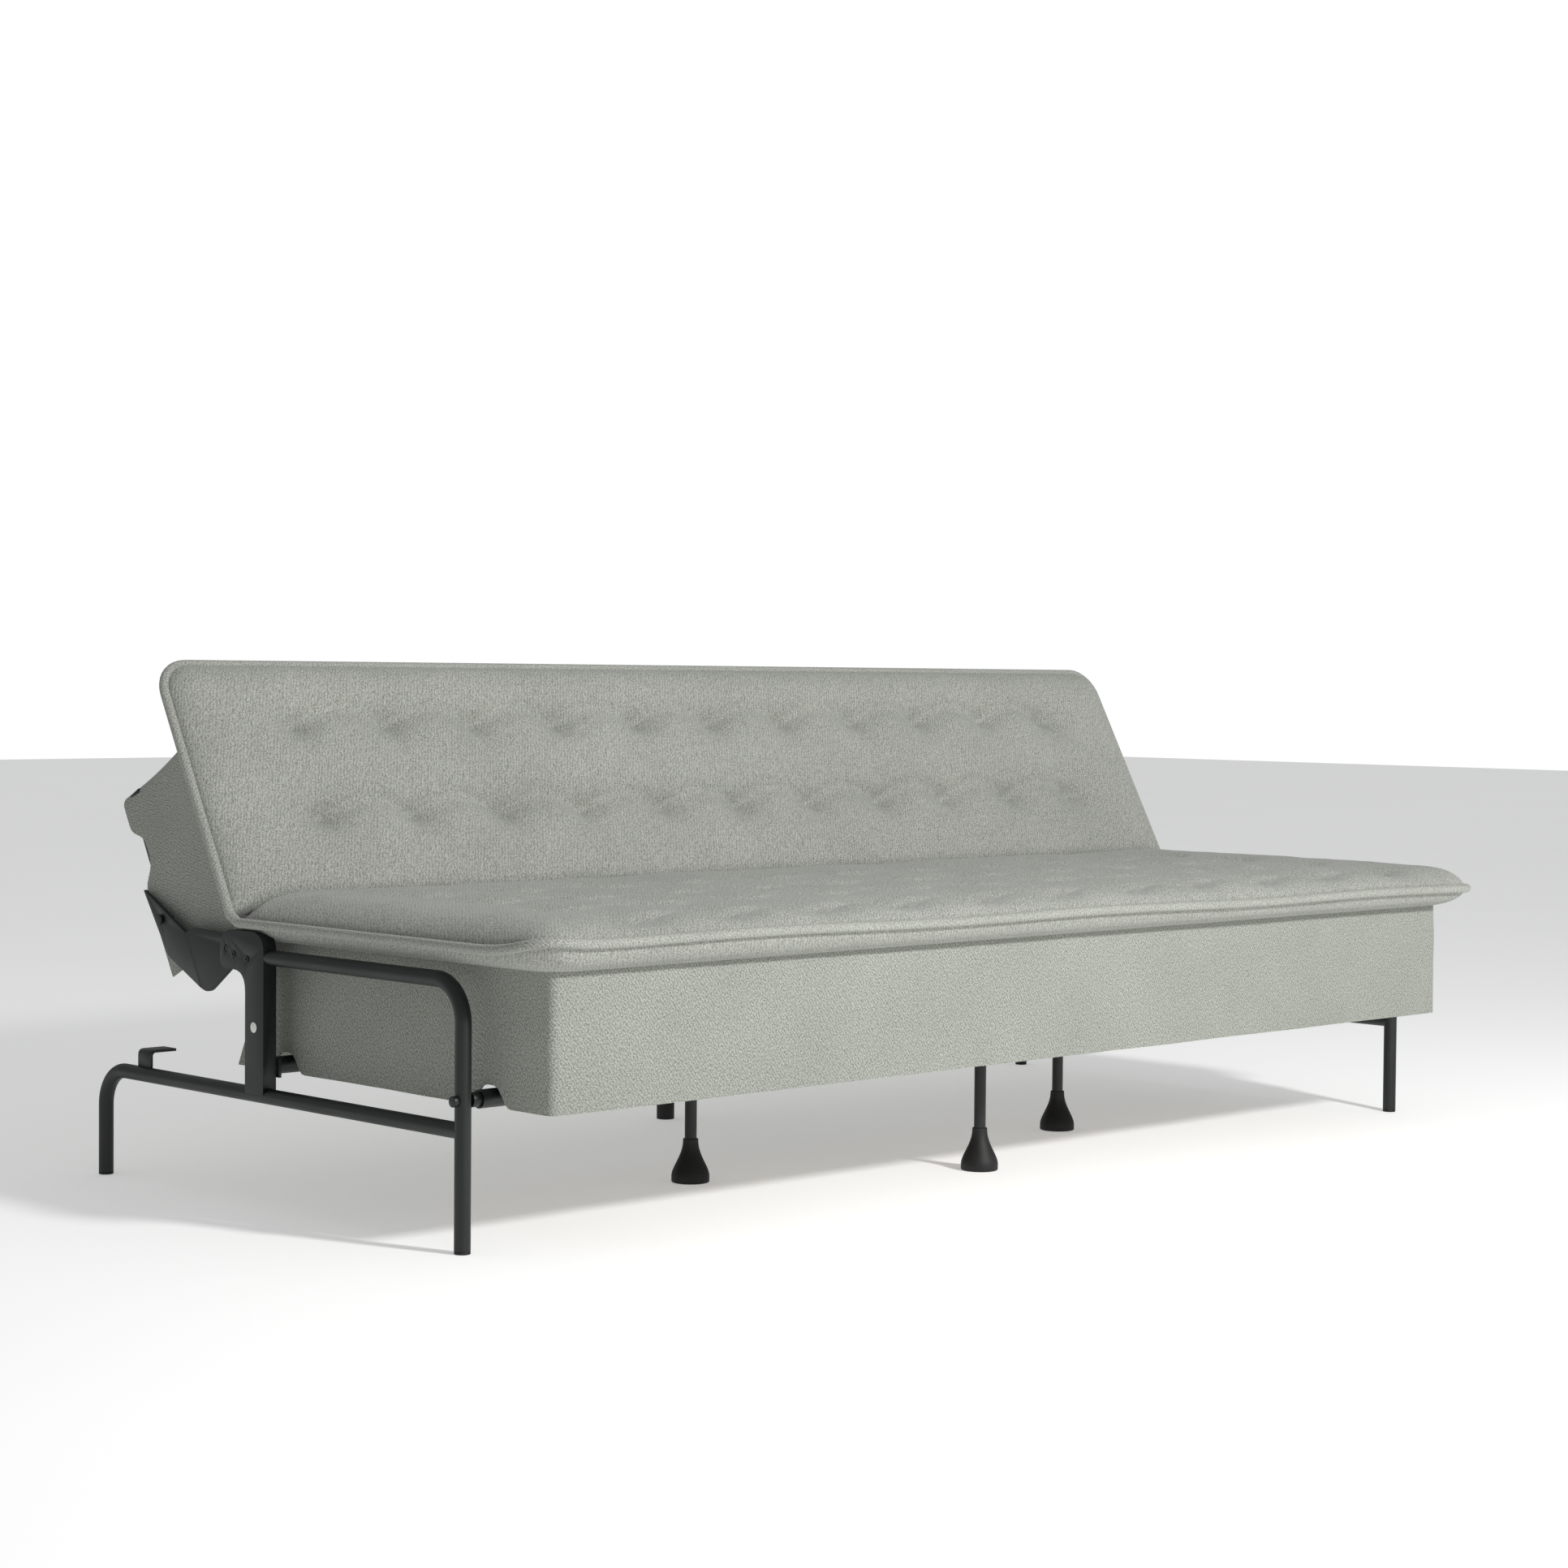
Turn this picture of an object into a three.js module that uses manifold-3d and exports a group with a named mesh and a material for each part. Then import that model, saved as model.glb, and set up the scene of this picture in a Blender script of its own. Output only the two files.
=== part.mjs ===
// A fold-down sofa bed, in millimetres, +Z up: two bent-tube end frames carry a long seat, and a
// padded back hinges on the frames' posts, so that it folds down level with the seat.
// X runs along the sofa, the seat faces -Y, and the floor is z = 0. Pieces are placed with y measured
// from the line of the front legs, and the whole sofa is then centred on its footprint.
import * as THREE from "three";
import { mergeVertices } from "three/addons/utils/BufferGeometryUtils.js";
import Module from "manifold-3d";

const wasm = await Module();
wasm.setup();

// Driving sizes
const GAP = 0.3; // between pieces that touch
const FIT = 0.4; // round a shank in its hole
const FRAME_SPAN = 2050; // between the centrelines of the two end frames
const LEG_SPAN = 865; // from the front legs to the rear legs
const TUBE_D = 22;
const TUBE_WALL = 1.5;
const TUBE_BEND = 55; // at the tube's centreline
const ARM_Z = 355; // centreline of the upper tube
const RAIL_Z = 160; // centreline of the lower rail
const GLIDE_HEIGHT = 4;

const POST_FRONT = 438;
const POST_DEPTH = 45;
const POST_SHEET = 3.5;
const HEAD_DEPTH = 108; // front to rear
const HEAD_HEIGHT = 56; // of the part that stands out behind the post
const HEAD_RISE = 35; // above the arm tube's centreline
const HEAD_ROUND = 30;
const PIVOT_BACK = 92; // behind the post's front
const PIVOT_DROP = 27; // below the head's top
const PIN_D = 10;
const HEAD_BOLTS = [[41, 39], [74, 34]]; // behind the post's front and below the head's top
const SOCKET_BOLT_D = 9;
const BADGE_D = 15;
const BADGE_DROP = 134; // below the head's top

const FOLD_FORE = 11; // from the pivot forward to the line where the two mattresses meet
const SEAM_RISE = 10; // of the mattress's edge seam above the head
const SEAM_INSET = 6; // of the end seam from the end frame's outer face
const BACK_TILT = 61.5; // of the back above level, in degrees
const SEAT_FRONT = 170; // the front seam, before the front legs' line
const BACK_LENGTH = 414;
const CROWN = 28; // of the padding above its edge seam
const TUCK = 44; // from the edge seam down to the top of the skirt
const FOLD_ROOM = 13; // that each mattress keeps from the fold line
const PAD_CORNER = 60;

const SEAT_ROOM = 39; // from the end frame in to the seat's side skirts
const SKIRT_FRONT = 120; // before the front legs' line
const SKIRT_SLOPE = 64; // from the fold line back to the skirt's lowest rear corner
const CLOTH = 4;
const BACK_ROOM = 3; // from the end frame in to the back's end skirts
const BACK_HEM = 19; // of the back's skirt below its frame
const BACK_SKIRT_START = 8;
const BACK_OVERHANG = 110; // of the back's outer seam past its skirt

const CROSS_D = 25;
const CROSS_Z = 200;
const MID_CROSS_Y = 236;
const RAIL_WIDTH = 25; // of the square tube in the seat's and the back's frames
const SEAT_RAIL_IN = 35; // from the side skirt in to the rail's centreline
const SEAT_RAIL_FRONT = 95;
const SLAT_THICK = 12;
const SLAT_WIDTH = 64;
const SEAT_SLATS = 3;
const BACK_SLATS = 2;
const BACK_DEPTH = 193; // from the back's edge seam to the underside of its frame
const BACK_RAIL_START = 46;

const CENTRE_LEG_Y = 32;
const MID_LEG_X = 413;
const INNER_LEG_D = 18;
const FOOT_BASE_D = 57;
const FOOT_TOP_D = 23;
const FOOT_HEIGHT = 65;
const SLEEVE_WALL = 4;
const SLEEVE_HEIGHT = 60;

const REST_BACK = 227; // from the pivot back to the hooks and the rear middle leg
const HOOK_WIDTH = 34;
const HOOK_SHEET = 4;
const HOOK_REACH = 40;
const HOOK_ROUND = 9;

const PLATE = 5; // the back bracket's sheet
const PLATE_ROOM = 3.5; // from the post's outer wall to the plate
const WING_BEND = 7; // of the bracket's wing towards the back, in degrees
const WING_BOLT_UP = 88; // from the fold line up the back to the bracket's bolt

const ROUND_SIDES = 16;
const BEND_STEPS = 7;

// Sizes that follow from the ones above
const FRAME_X = FRAME_SPAN / 2;
const OUTER_X = FRAME_X + TUBE_D / 2;
const INNER_X = FRAME_X - TUBE_D / 2;
const MATTRESS_HALF = OUTER_X - SEAM_INSET;
const SEAT_HALF = INNER_X - SEAT_ROOM;
const BACK_HALF = INNER_X - BACK_ROOM - CLOTH;
const POST_REAR = POST_FRONT + POST_DEPTH;
const HEAD_TOP = ARM_Z + HEAD_RISE;
const HEAD_BOTTOM = HEAD_TOP - HEAD_HEIGHT;
const HEAD_REAR = POST_FRONT + HEAD_DEPTH;
const PIVOT_Y = POST_FRONT + PIVOT_BACK;
const PIVOT_Z = HEAD_TOP - PIVOT_DROP;
const FOLD_Y = PIVOT_Y - FOLD_FORE;
const PIPING_Z = HEAD_TOP + SEAM_RISE;
const TILT = THREE.MathUtils.degToRad(BACK_TILT);
const REST_Y = PIVOT_Y + REST_BACK;
const SKIRT_BOTTOM = CROSS_Z - CROSS_D / 2;
const SKIRT_REAR = FOLD_Y + SKIRT_SLOPE;
const SEAT_RAIL_X = SEAT_HALF - SEAT_RAIL_IN;
const SEAT_RAIL_REAR = POST_REAR + CROSS_D / 2;
const SEAT_RAIL_BOTTOM = CROSS_Z + CROSS_D / 2 + GAP;
const SEAT_SLAT_BOTTOM = SEAT_RAIL_BOTTOM + RAIL_WIDTH + GAP;
const SEAT_PAD_BOTTOM = SEAT_SLAT_BOTTOM + SLAT_THICK + GAP;
const BACK_SKIRT_END = BACK_LENGTH - BACK_OVERHANG;
const BACK_RAIL_END = BACK_SKIRT_END - 2 * CLOTH;
const BACK_SLAT_TOP = BACK_DEPTH - RAIL_WIDTH - GAP - SLAT_THICK;
const BACK_PAD_BOTTOM = BACK_SLAT_TOP - GAP;
const BACK_RAIL_X = BACK_HALF - 1 - RAIL_WIDTH;
// The back's edge seam is this high when it is folded down, because it turns on the pivot.
const FLAT_SEAM_Z = PIVOT_Z + (PIVOT_Y - FOLD_Y) * Math.sin(TILT) + (PIPING_Z - PIVOT_Z) * Math.cos(TILT);
const HOOK_TOP = FLAT_SEAM_Z - BACK_DEPTH - GAP;
const BEAM_Z = CROSS_Z - CROSS_D / 2 - GAP - TUBE_D / 2;

const STEEL = { color: 0x14191a, roughness: 0.55, metalness: 0.4 };
const PLASTIC = { color: 0x101212, roughness: 0.8, metalness: 0 };
const FABRIC = { color: 0xa9aea3, roughness: 0.95, metalness: 0 };
const BEECH = { color: 0xc9a878, roughness: 0.6, metalness: 0 };
const PRINT = { color: 0xe4e6e2, roughness: 0.6, metalness: 0 };

// Solids

// A closed geometry as a solid that can be joined and cut.
function solid(geometry) {
  const bare = geometry.index ? geometry.toNonIndexed() : geometry.clone();
  bare.deleteAttribute("normal");
  bare.deleteAttribute("uv");
  const merged = mergeVertices(bare, 1e-4);
  return new wasm.Manifold(new wasm.Mesh({
    numProp: 3,
    vertProperties: merged.attributes.position.array,
    triVerts: new Uint32Array(merged.index.array),
  }));
}

// A solid as a geometry again.
function geometryOf(body) {
  const mesh = body.getMesh();
  const geometry = new THREE.BufferGeometry();
  geometry.setAttribute("position", new THREE.BufferAttribute(mesh.vertProperties, 3));
  geometry.setIndex(new THREE.BufferAttribute(mesh.triVerts, 1));
  const flat = geometry.toNonIndexed();
  flat.computeVertexNormals();
  return flat;
}

function box(lowX, highX, lowY, highY, lowZ, highZ) {
  const geometry = new THREE.BoxGeometry(highX - lowX, highY - lowY, highZ - lowZ);
  return geometry.translate((lowX + highX) / 2, (lowY + highY) / 2, (lowZ + highZ) / 2);
}

// A rod along X through (y, z).
function rodX(lowX, highX, y, z, diameter, sides = ROUND_SIDES) {
  const geometry = new THREE.CylinderGeometry(diameter / 2, diameter / 2, highX - lowX, sides);
  return geometry.rotateZ(Math.PI / 2).translate((lowX + highX) / 2, y, z);
}

// A rod along Z through (x, y).
function rodZ(x, y, lowZ, highZ, diameter, sides = ROUND_SIDES) {
  const geometry = new THREE.CylinderGeometry(diameter / 2, diameter / 2, highZ - lowZ, sides);
  return geometry.rotateX(Math.PI / 2).translate(x, y, (lowZ + highZ) / 2);
}

// An outline drawn in (y, z), as sheet from x = low to x = high.
function sheetX(shape, low, high, curveSegments = 6) {
  const geometry = new THREE.ExtrudeGeometry(shape, { depth: high - low, bevelEnabled: false, curveSegments });
  const turn = new THREE.Matrix4().makeBasis(
    new THREE.Vector3(0, 1, 0),
    new THREE.Vector3(0, 0, 1),
    new THREE.Vector3(1, 0, 0),
  );
  return geometry.applyMatrix4(turn).translate(low, 0, 0);
}

function polygon(points) {
  return new THREE.Shape(points.map(([a, b]) => new THREE.Vector2(a, b)));
}

// A polygon whose corners are rounded, each [a, b, radius].
function roundedPolygon(corners) {
  const shape = new THREE.Shape();
  const count = corners.length;
  corners.forEach(([a, b, radius], i) => {
    const here = new THREE.Vector2(a, b);
    const [beforeA, beforeB] = corners[(i + count - 1) % count];
    const [afterA, afterB] = corners[(i + 1) % count];
    const back = new THREE.Vector2(beforeA, beforeB).sub(here).normalize();
    const on = new THREE.Vector2(afterA, afterB).sub(here).normalize();
    const start = here.clone().addScaledVector(back, radius);
    const end = here.clone().addScaledVector(on, radius);
    if (i === 0) shape.moveTo(start.x, start.y);
    else shape.lineTo(start.x, start.y);
    if (radius > 0) shape.quadraticCurveTo(here.x, here.y, end.x, end.y);
  });
  shape.closePath();
  return shape;
}

// A tube's centreline: straight runs joined by arcs, with steps only in the bends.
class BentPath extends THREE.Curve {
  constructor(corners, radius) {
    super();
    this.points = [corners[0]];
    this.tangents = [corners[1].clone().sub(corners[0]).normalize()];
    for (let i = 1; i < corners.length - 1; i += 1) {
      const inward = corners[i].clone().sub(corners[i - 1]).normalize();
      const outward = corners[i + 1].clone().sub(corners[i]).normalize();
      const angle = inward.angleTo(outward);
      const start = corners[i].clone().addScaledVector(inward, -radius * Math.tan(angle / 2));
      const side = outward.clone().addScaledVector(inward, -inward.dot(outward)).normalize();
      for (let step = 0; step <= BEND_STEPS; step += 1) {
        const turn = (angle * step) / BEND_STEPS;
        const along = radius * Math.sin(turn);
        const across = radius * (1 - Math.cos(turn));
        this.points.push(start.clone().addScaledVector(inward, along).addScaledVector(side, across));
        this.tangents.push(inward.clone().multiplyScalar(Math.cos(turn)).addScaledVector(side, Math.sin(turn)));
      }
    }
    this.points.push(corners.at(-1));
    this.tangents.push(this.tangents.at(-1).clone());
  }

  get steps() {
    return this.points.length - 1;
  }

  getPointAt(u) {
    return this.points[Math.round(u * this.steps)].clone();
  }

  getTangentAt(u) {
    return this.tangents[Math.round(u * this.steps)].clone();
  }
}

function circle(diameter, sides) {
  const shape = new THREE.Path();
  for (let i = 0; i < sides; i += 1) {
    const angle = (2 * Math.PI * i) / sides;
    const point = [(diameter / 2) * Math.cos(angle), (diameter / 2) * Math.sin(angle)];
    if (i === 0) shape.moveTo(...point);
    else shape.lineTo(...point);
  }
  shape.closePath();
  return shape;
}

// A bent tube, hollow from end to end.
function tube(corners, diameter = TUBE_D, wall = TUBE_WALL, bend = TUBE_BEND) {
  const path = new BentPath(corners, bend);
  const section = new THREE.Shape(circle(diameter, ROUND_SIDES).getPoints());
  if (wall > 0) section.holes.push(circle(diameter - 2 * wall, ROUND_SIDES / 2));
  return new THREE.ExtrudeGeometry(section, { steps: path.steps, extrudePath: path, bevelEnabled: false });
}

function at(x, y, z) {
  return new THREE.Vector3(x, y, z);
}

// A padded slab built of rounded rectangles one above the other. Each level has its z, and how far it
// stands in from the edge seam at the sides, at the low end and at the high end of y.
function padGeometry(lowY, highY, levels) {
  const cornerSteps = 4;
  const ring = ([z, side, low, high]) => {
    const points = [];
    const radius = PAD_CORNER;
    const half = MATTRESS_HALF - side - radius;
    const corners = [
      [half, highY - high - radius, 0],
      [-half, highY - high - radius, 1],
      [-half, lowY + low + radius, 2],
      [half, lowY + low + radius, 3],
    ];
    corners.forEach(([x, y, quarter]) => {
      for (let i = 0; i <= cornerSteps; i += 1) {
        const angle = ((quarter + i / cornerSteps) * Math.PI) / 2;
        points.push([x + radius * Math.cos(angle), y + radius * Math.sin(angle), z]);
      }
    });
    return points;
  };
  const rings = levels.map(ring);
  const count = rings[0].length;
  const positions = rings.flat(2);
  const index = [];
  for (let level = 0; level < rings.length - 1; level += 1) {
    for (let i = 0; i < count; i += 1) {
      const a = level * count + i;
      const b = level * count + ((i + 1) % count);
      index.push(a, b, b + count, a, b + count, a + count);
    }
  }
  const top = (rings.length - 1) * count;
  for (let i = 1; i < count - 1; i += 1) {
    index.push(0, i + 1, i);
    index.push(top, top + i, top + i + 1);
  }
  const geometry = new THREE.BufferGeometry();
  geometry.setAttribute("position", new THREE.Float32BufferAttribute(positions, 3));
  geometry.setIndex(index);
  const flat = geometry.toNonIndexed();
  flat.computeVertexNormals();
  return flat;
}

// The levels of a mattress from its underside to its crown: z from the edge seam, then how far it
// stands in at the sides, at the fold and at its outer end. Under the seam it draws in to the skirt.
function padLevels(bottom, endWaist) {
  const waist = MATTRESS_HALF - SEAT_HALF + CLOTH * 2;
  const drawn = 0.4;
  return [
    [-bottom, waist, 6, endWaist],
    [-TUCK, waist, 6, endWaist],
    [-CROWN / 2, waist * drawn, 0, endWaist * drawn],
    [0, 0, 0, 0],
    [CROWN / 2, 8, 10, 8],
    [CROWN, 55, 45, 55],
  ];
}

// Groups and pieces

const sofa = new THREE.Group();
// The back's own frame: x along the sofa, y up the back from the fold line, z out of its padded face.
const back = new THREE.Group();
back.position.set(0, FOLD_Y, PIPING_Z);
back.rotation.x = TILT;
sofa.add(back);

function add(group, name, geometry, look) {
  const mesh = new THREE.Mesh(geometry, new THREE.MeshStandardMaterial(look));
  mesh.name = name;
  group.add(mesh);
  return mesh;
}

const ENDS = [["left", -1], ["right", 1]];

// Low and high x of a stretch given by its distances from the middle, on either side.
function span(side, near, far) {
  return side < 0 ? [-far, -near] : [near, far];
}

// The front leg rises, turns back and becomes the arm tube, which ends on the hinge post.
function frontLeg(end, side) {
  const x = side * FRAME_X;
  const line = tube([at(x, 0, GLIDE_HEIGHT), at(x, 0, ARM_Z), at(x, POST_FRONT - GAP, ARM_Z)]);
  const hole = rodX(...span(side, INNER_X - GAP, OUTER_X + GAP), 0, CROSS_Z, SOCKET_BOLT_D + 2 * FIT);
  add(sofa, `front_leg_${end}`, geometryOf(solid(line).subtract(solid(hole))), STEEL);
}

// The lower rail starts on the front leg, runs back under the post and turns down into the rear leg.
function lowerRail(end, side) {
  const x = side * FRAME_X;
  const line = tube([at(x, 0, RAIL_Z), at(x, LEG_SPAN, RAIL_Z), at(x, LEG_SPAN, GLIDE_HEIGHT)]);
  const leg = rodZ(x, 0, 0, ARM_Z, TUBE_D + 2 * GAP);
  const front = box(x - TUBE_D, x + TUBE_D, -TUBE_D, 0, RAIL_Z - TUBE_D, RAIL_Z + TUBE_D);
  const cut = solid(line).subtract(solid(leg)).subtract(solid(front));
  add(sofa, `lower_rail_${end}`, geometryOf(cut), STEEL);
}

// The outline of the post and its head in (y, z).
function postOutline() {
  const shape = new THREE.Shape();
  const neck = HEAD_ROUND;
  shape.moveTo(POST_FRONT, RAIL_Z);
  shape.lineTo(POST_REAR, RAIL_Z);
  shape.lineTo(POST_REAR, HEAD_BOTTOM - neck);
  shape.quadraticCurveTo(POST_REAR, HEAD_BOTTOM, POST_REAR + neck, HEAD_BOTTOM);
  shape.lineTo(HEAD_REAR - HEAD_ROUND / 2, HEAD_BOTTOM);
  shape.quadraticCurveTo(HEAD_REAR, HEAD_BOTTOM, HEAD_REAR, HEAD_BOTTOM + HEAD_ROUND / 2);
  shape.lineTo(HEAD_REAR, HEAD_TOP - HEAD_ROUND);
  shape.quadraticCurveTo(HEAD_REAR, HEAD_TOP, HEAD_REAR - HEAD_ROUND, HEAD_TOP);
  shape.lineTo(POST_FRONT + HEAD_ROUND, HEAD_TOP);
  shape.quadraticCurveTo(POST_FRONT, HEAD_TOP, POST_FRONT, HEAD_TOP - HEAD_ROUND);
  shape.closePath();
  return shape;
}

// The hollow of the post, open to the rear, where the back's bracket swings.
function postHollow() {
  const front = POST_FRONT + POST_SHEET;
  const top = HEAD_TOP - POST_SHEET;
  const shape = new THREE.Shape();
  shape.moveTo(front, 0);
  shape.lineTo(HEAD_REAR + HEAD_ROUND, 0);
  shape.lineTo(HEAD_REAR + HEAD_ROUND, top);
  shape.lineTo(front + HEAD_ROUND, top);
  shape.quadraticCurveTo(front, top, front, top - HEAD_ROUND);
  shape.closePath();
  return shape;
}

function hingePost(end, side) {
  const outer = sheetX(postOutline(), ...span(side, INNER_X, OUTER_X));
  const hollow = sheetX(postHollow(), ...span(side, INNER_X + POST_SHEET, OUTER_X - POST_SHEET));
  const x = side * FRAME_X;
  const length = 2 * POST_DEPTH;
  const rail = new THREE.CylinderGeometry(TUBE_D / 2 + GAP, TUBE_D / 2 + GAP, length, ROUND_SIDES);
  rail.translate(x, POST_FRONT + POST_DEPTH / 2, RAIL_Z);
  let body = solid(outer).subtract(solid(hollow)).subtract(solid(rail));
  const through = span(side, INNER_X - GAP, OUTER_X + GAP);
  body = body.subtract(solid(rodX(...through, PIVOT_Y, PIVOT_Z, PIN_D + 2 * FIT)));
  HEAD_BOLTS.forEach(([rear, drop]) => {
    const drilled = span(side, OUTER_X - 2 * POST_SHEET, OUTER_X + GAP);
    const hole = rodX(...drilled, POST_FRONT + rear, HEAD_TOP - drop, SOCKET_BOLT_D + 2 * FIT);
    body = body.subtract(solid(hole));
  });
  add(sofa, `hinge_post_${end}`, geometryOf(body), STEEL);
}

// The screws that fix the hinge's stop plate, sunk almost level with the head's outer face.
function headBolts(end, side) {
  const socketDepth = 1.5;
  const stub = 1.5;
  HEAD_BOLTS.forEach(([rear, drop], i) => {
    const y = POST_FRONT + rear;
    const z = HEAD_TOP - drop;
    const shank = rodX(...span(side, OUTER_X - POST_SHEET - stub, OUTER_X + 1), y, z, SOCKET_BOLT_D);
    const socket = rodX(...span(side, OUTER_X + 1 - socketDepth, OUTER_X + 2), y, z, SOCKET_BOLT_D / 2, 6);
    add(sofa, `head_bolt_${end}_${i + 1}`, geometryOf(solid(shank).subtract(solid(socket))), STEEL);
  });
}

function hingePin(end, side) {
  const recess = 0.5;
  const [low, high] = span(side, INNER_X + recess, OUTER_X - recess);
  add(sofa, `hinge_pin_${end}`, rodX(low, high, PIVOT_Y, PIVOT_Z, PIN_D), STEEL);
}

function postBadge(end, side) {
  const thick = 0.8;
  const [low, high] = span(side, OUTER_X + GAP, OUTER_X + GAP + thick);
  add(sofa, `post_badge_${end}`, rodX(low, high, POST_FRONT + POST_DEPTH / 2, HEAD_TOP - BADGE_DROP, BADGE_D), PRINT);
}

// The strap that the back's frame comes down on: up from the lower rail, then in under the frame.
function restHook(end, side) {
  const outer = FRAME_X + HOOK_SHEET / 2;
  const inner = outer - HOOK_REACH - HOOK_SHEET;
  const foot = RAIL_Z;
  const shape = roundedPolygon([
    [-outer, foot, 0],
    [-outer + HOOK_SHEET, foot, 0],
    [-outer + HOOK_SHEET, HOOK_TOP - HOOK_SHEET, HOOK_ROUND - HOOK_SHEET],
    [-inner, HOOK_TOP - HOOK_SHEET, 0],
    [-inner, HOOK_TOP, 0],
    [-outer, HOOK_TOP, HOOK_ROUND],
  ]);
  const strap = new THREE.ExtrudeGeometry(shape, { depth: HOOK_WIDTH, bevelEnabled: false, curveSegments: 4 });
  const turn = new THREE.Matrix4().makeBasis(
    new THREE.Vector3(1, 0, 0),
    new THREE.Vector3(0, 0, 1),
    new THREE.Vector3(0, -1, 0),
  );
  strap.applyMatrix4(turn).translate(0, REST_Y + HOOK_WIDTH / 2, 0);
  if (side > 0) strap.rotateZ(Math.PI).translate(0, 2 * REST_Y, 0);
  const rail = new THREE.CylinderGeometry(TUBE_D / 2 + GAP, TUBE_D / 2 + GAP, 2 * HOOK_WIDTH, ROUND_SIDES);
  rail.translate(side * FRAME_X, REST_Y, RAIL_Z);
  add(sofa, `rest_hook_${end}`, geometryOf(solid(strap).subtract(solid(rail)).decompose().at(-1)), STEEL);
}

// The plastic plug under each leg of the end frames: a disc on the floor and a stem up the tube.
function legGlides(end, side) {
  const stem = 18;
  const spigot = TUBE_D - 2 * TUBE_WALL - 4 * FIT;
  [["front", 0], ["rear", LEG_SPAN]].forEach(([place, y]) => {
    const x = side * FRAME_X;
    const disc = solid(rodZ(x, y, 0, GLIDE_HEIGHT - GAP, TUBE_D));
    const plug = solid(rodZ(x, y, GLIDE_HEIGHT / 2, stem, spigot, ROUND_SIDES / 2));
    add(sofa, `glide_${place}_${end}`, geometryOf(disc.add(plug)), PLASTIC);
  });
}

// The bolt through the front leg, and the flanged spacer that keeps the seat's tube off the leg.
function legBolt(end, side) {
  const headD = 15;
  const headHeight = 7;
  const spacerD = CROSS_D - 5;
  const spacerLength = 14;
  const reach = 30;
  const head = rodX(...span(side, OUTER_X + GAP, OUTER_X + headHeight), 0, CROSS_Z, headD);
  const shank = rodX(...span(side, INNER_X - spacerLength - reach, OUTER_X + headHeight / 2), 0, CROSS_Z, SOCKET_BOLT_D);
  add(sofa, `leg_bolt_${end}`, geometryOf(solid(head).add(solid(shank))), STEEL);
  const sleeve = rodX(...span(side, INNER_X - spacerLength, INNER_X - GAP), 0, CROSS_Z, spacerD);
  const bore = rodX(...span(side, INNER_X - 2 * spacerLength, INNER_X), 0, CROSS_Z, SOCKET_BOLT_D + 2 * FIT);
  add(sofa, `leg_spacer_${end}`, geometryOf(solid(sleeve).subtract(solid(bore))), STEEL);
  return INNER_X - spacerLength - GAP;
}

// The tubes across the sofa that join the end frames and carry the seat.
function crossTubes(frontHalf) {
  const wall = TUBE_WALL;
  const front = [at(-frontHalf, 0, CROSS_Z), at(frontHalf, 0, CROSS_Z)];
  add(sofa, "front_cross_tube", tube(front, CROSS_D, wall), STEEL);
  const half = SEAT_RAIL_X + RAIL_WIDTH / 2;
  const mid = [at(-half, MID_CROSS_Y, CROSS_Z), at(half, MID_CROSS_Y, CROSS_Z)];
  add(sofa, "mid_cross_tube", tube(mid, CROSS_D, wall), STEEL);
  const plate = 4;
  const plateHalf = 14;
  const rearY = POST_FRONT + POST_DEPTH / 2;
  const rearHalf = INNER_X - GAP - plate / 2;
  let rear = solid(rodX(-rearHalf, rearHalf, rearY, CROSS_Z, CROSS_D));
  ENDS.forEach(([, side]) => {
    const [low, high] = span(side, INNER_X - GAP - plate, INNER_X - GAP);
    const lowY = POST_FRONT - plateHalf / 2;
    rear = rear.add(solid(box(low, high, lowY, POST_REAR, CROSS_Z - plateHalf, CROSS_Z + plateHalf)));
  });
  const bore = rodX(-INNER_X, INNER_X, rearY, CROSS_Z, CROSS_D - 2 * wall, ROUND_SIDES / 2);
  add(sofa, "rear_cross_tube", geometryOf(rear.subtract(solid(bore))), STEEL);
}

// A square tube along Y in its group's frame, hollow from end to end.
function squareTube(lowX, lowY, highY, lowZ) {
  const wall = TUBE_WALL;
  const outer = box(lowX, lowX + RAIL_WIDTH, lowY, highY, lowZ, lowZ + RAIL_WIDTH);
  const inner = box(
    lowX + wall, lowX + RAIL_WIDTH - wall, lowY - 1, highY + 1, lowZ + wall, lowZ + RAIL_WIDTH - wall,
  );
  return geometryOf(solid(outer).subtract(solid(inner)));
}

function seatFrame() {
  ENDS.forEach(([end, side]) => {
    const lowX = side * SEAT_RAIL_X - RAIL_WIDTH / 2;
    add(sofa, `seat_rail_${end}`, squareTube(lowX, -SEAT_RAIL_FRONT, SEAT_RAIL_REAR, SEAT_RAIL_BOTTOM), STEEL);
  });
  const room = SEAT_RAIL_REAR + SEAT_RAIL_FRONT - SLAT_WIDTH;
  for (let i = 0; i < SEAT_SLATS; i += 1) {
    const y = -SEAT_RAIL_FRONT + (room * i) / (SEAT_SLATS - 1);
    const half = SEAT_RAIL_X + RAIL_WIDTH / 2;
    const slat = box(-half, half, y, y + SLAT_WIDTH, SEAT_SLAT_BOTTOM, SEAT_SLAT_BOTTOM + SLAT_THICK);
    add(sofa, `seat_slat_${i + 1}`, slat, BEECH);
  }
}

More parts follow.
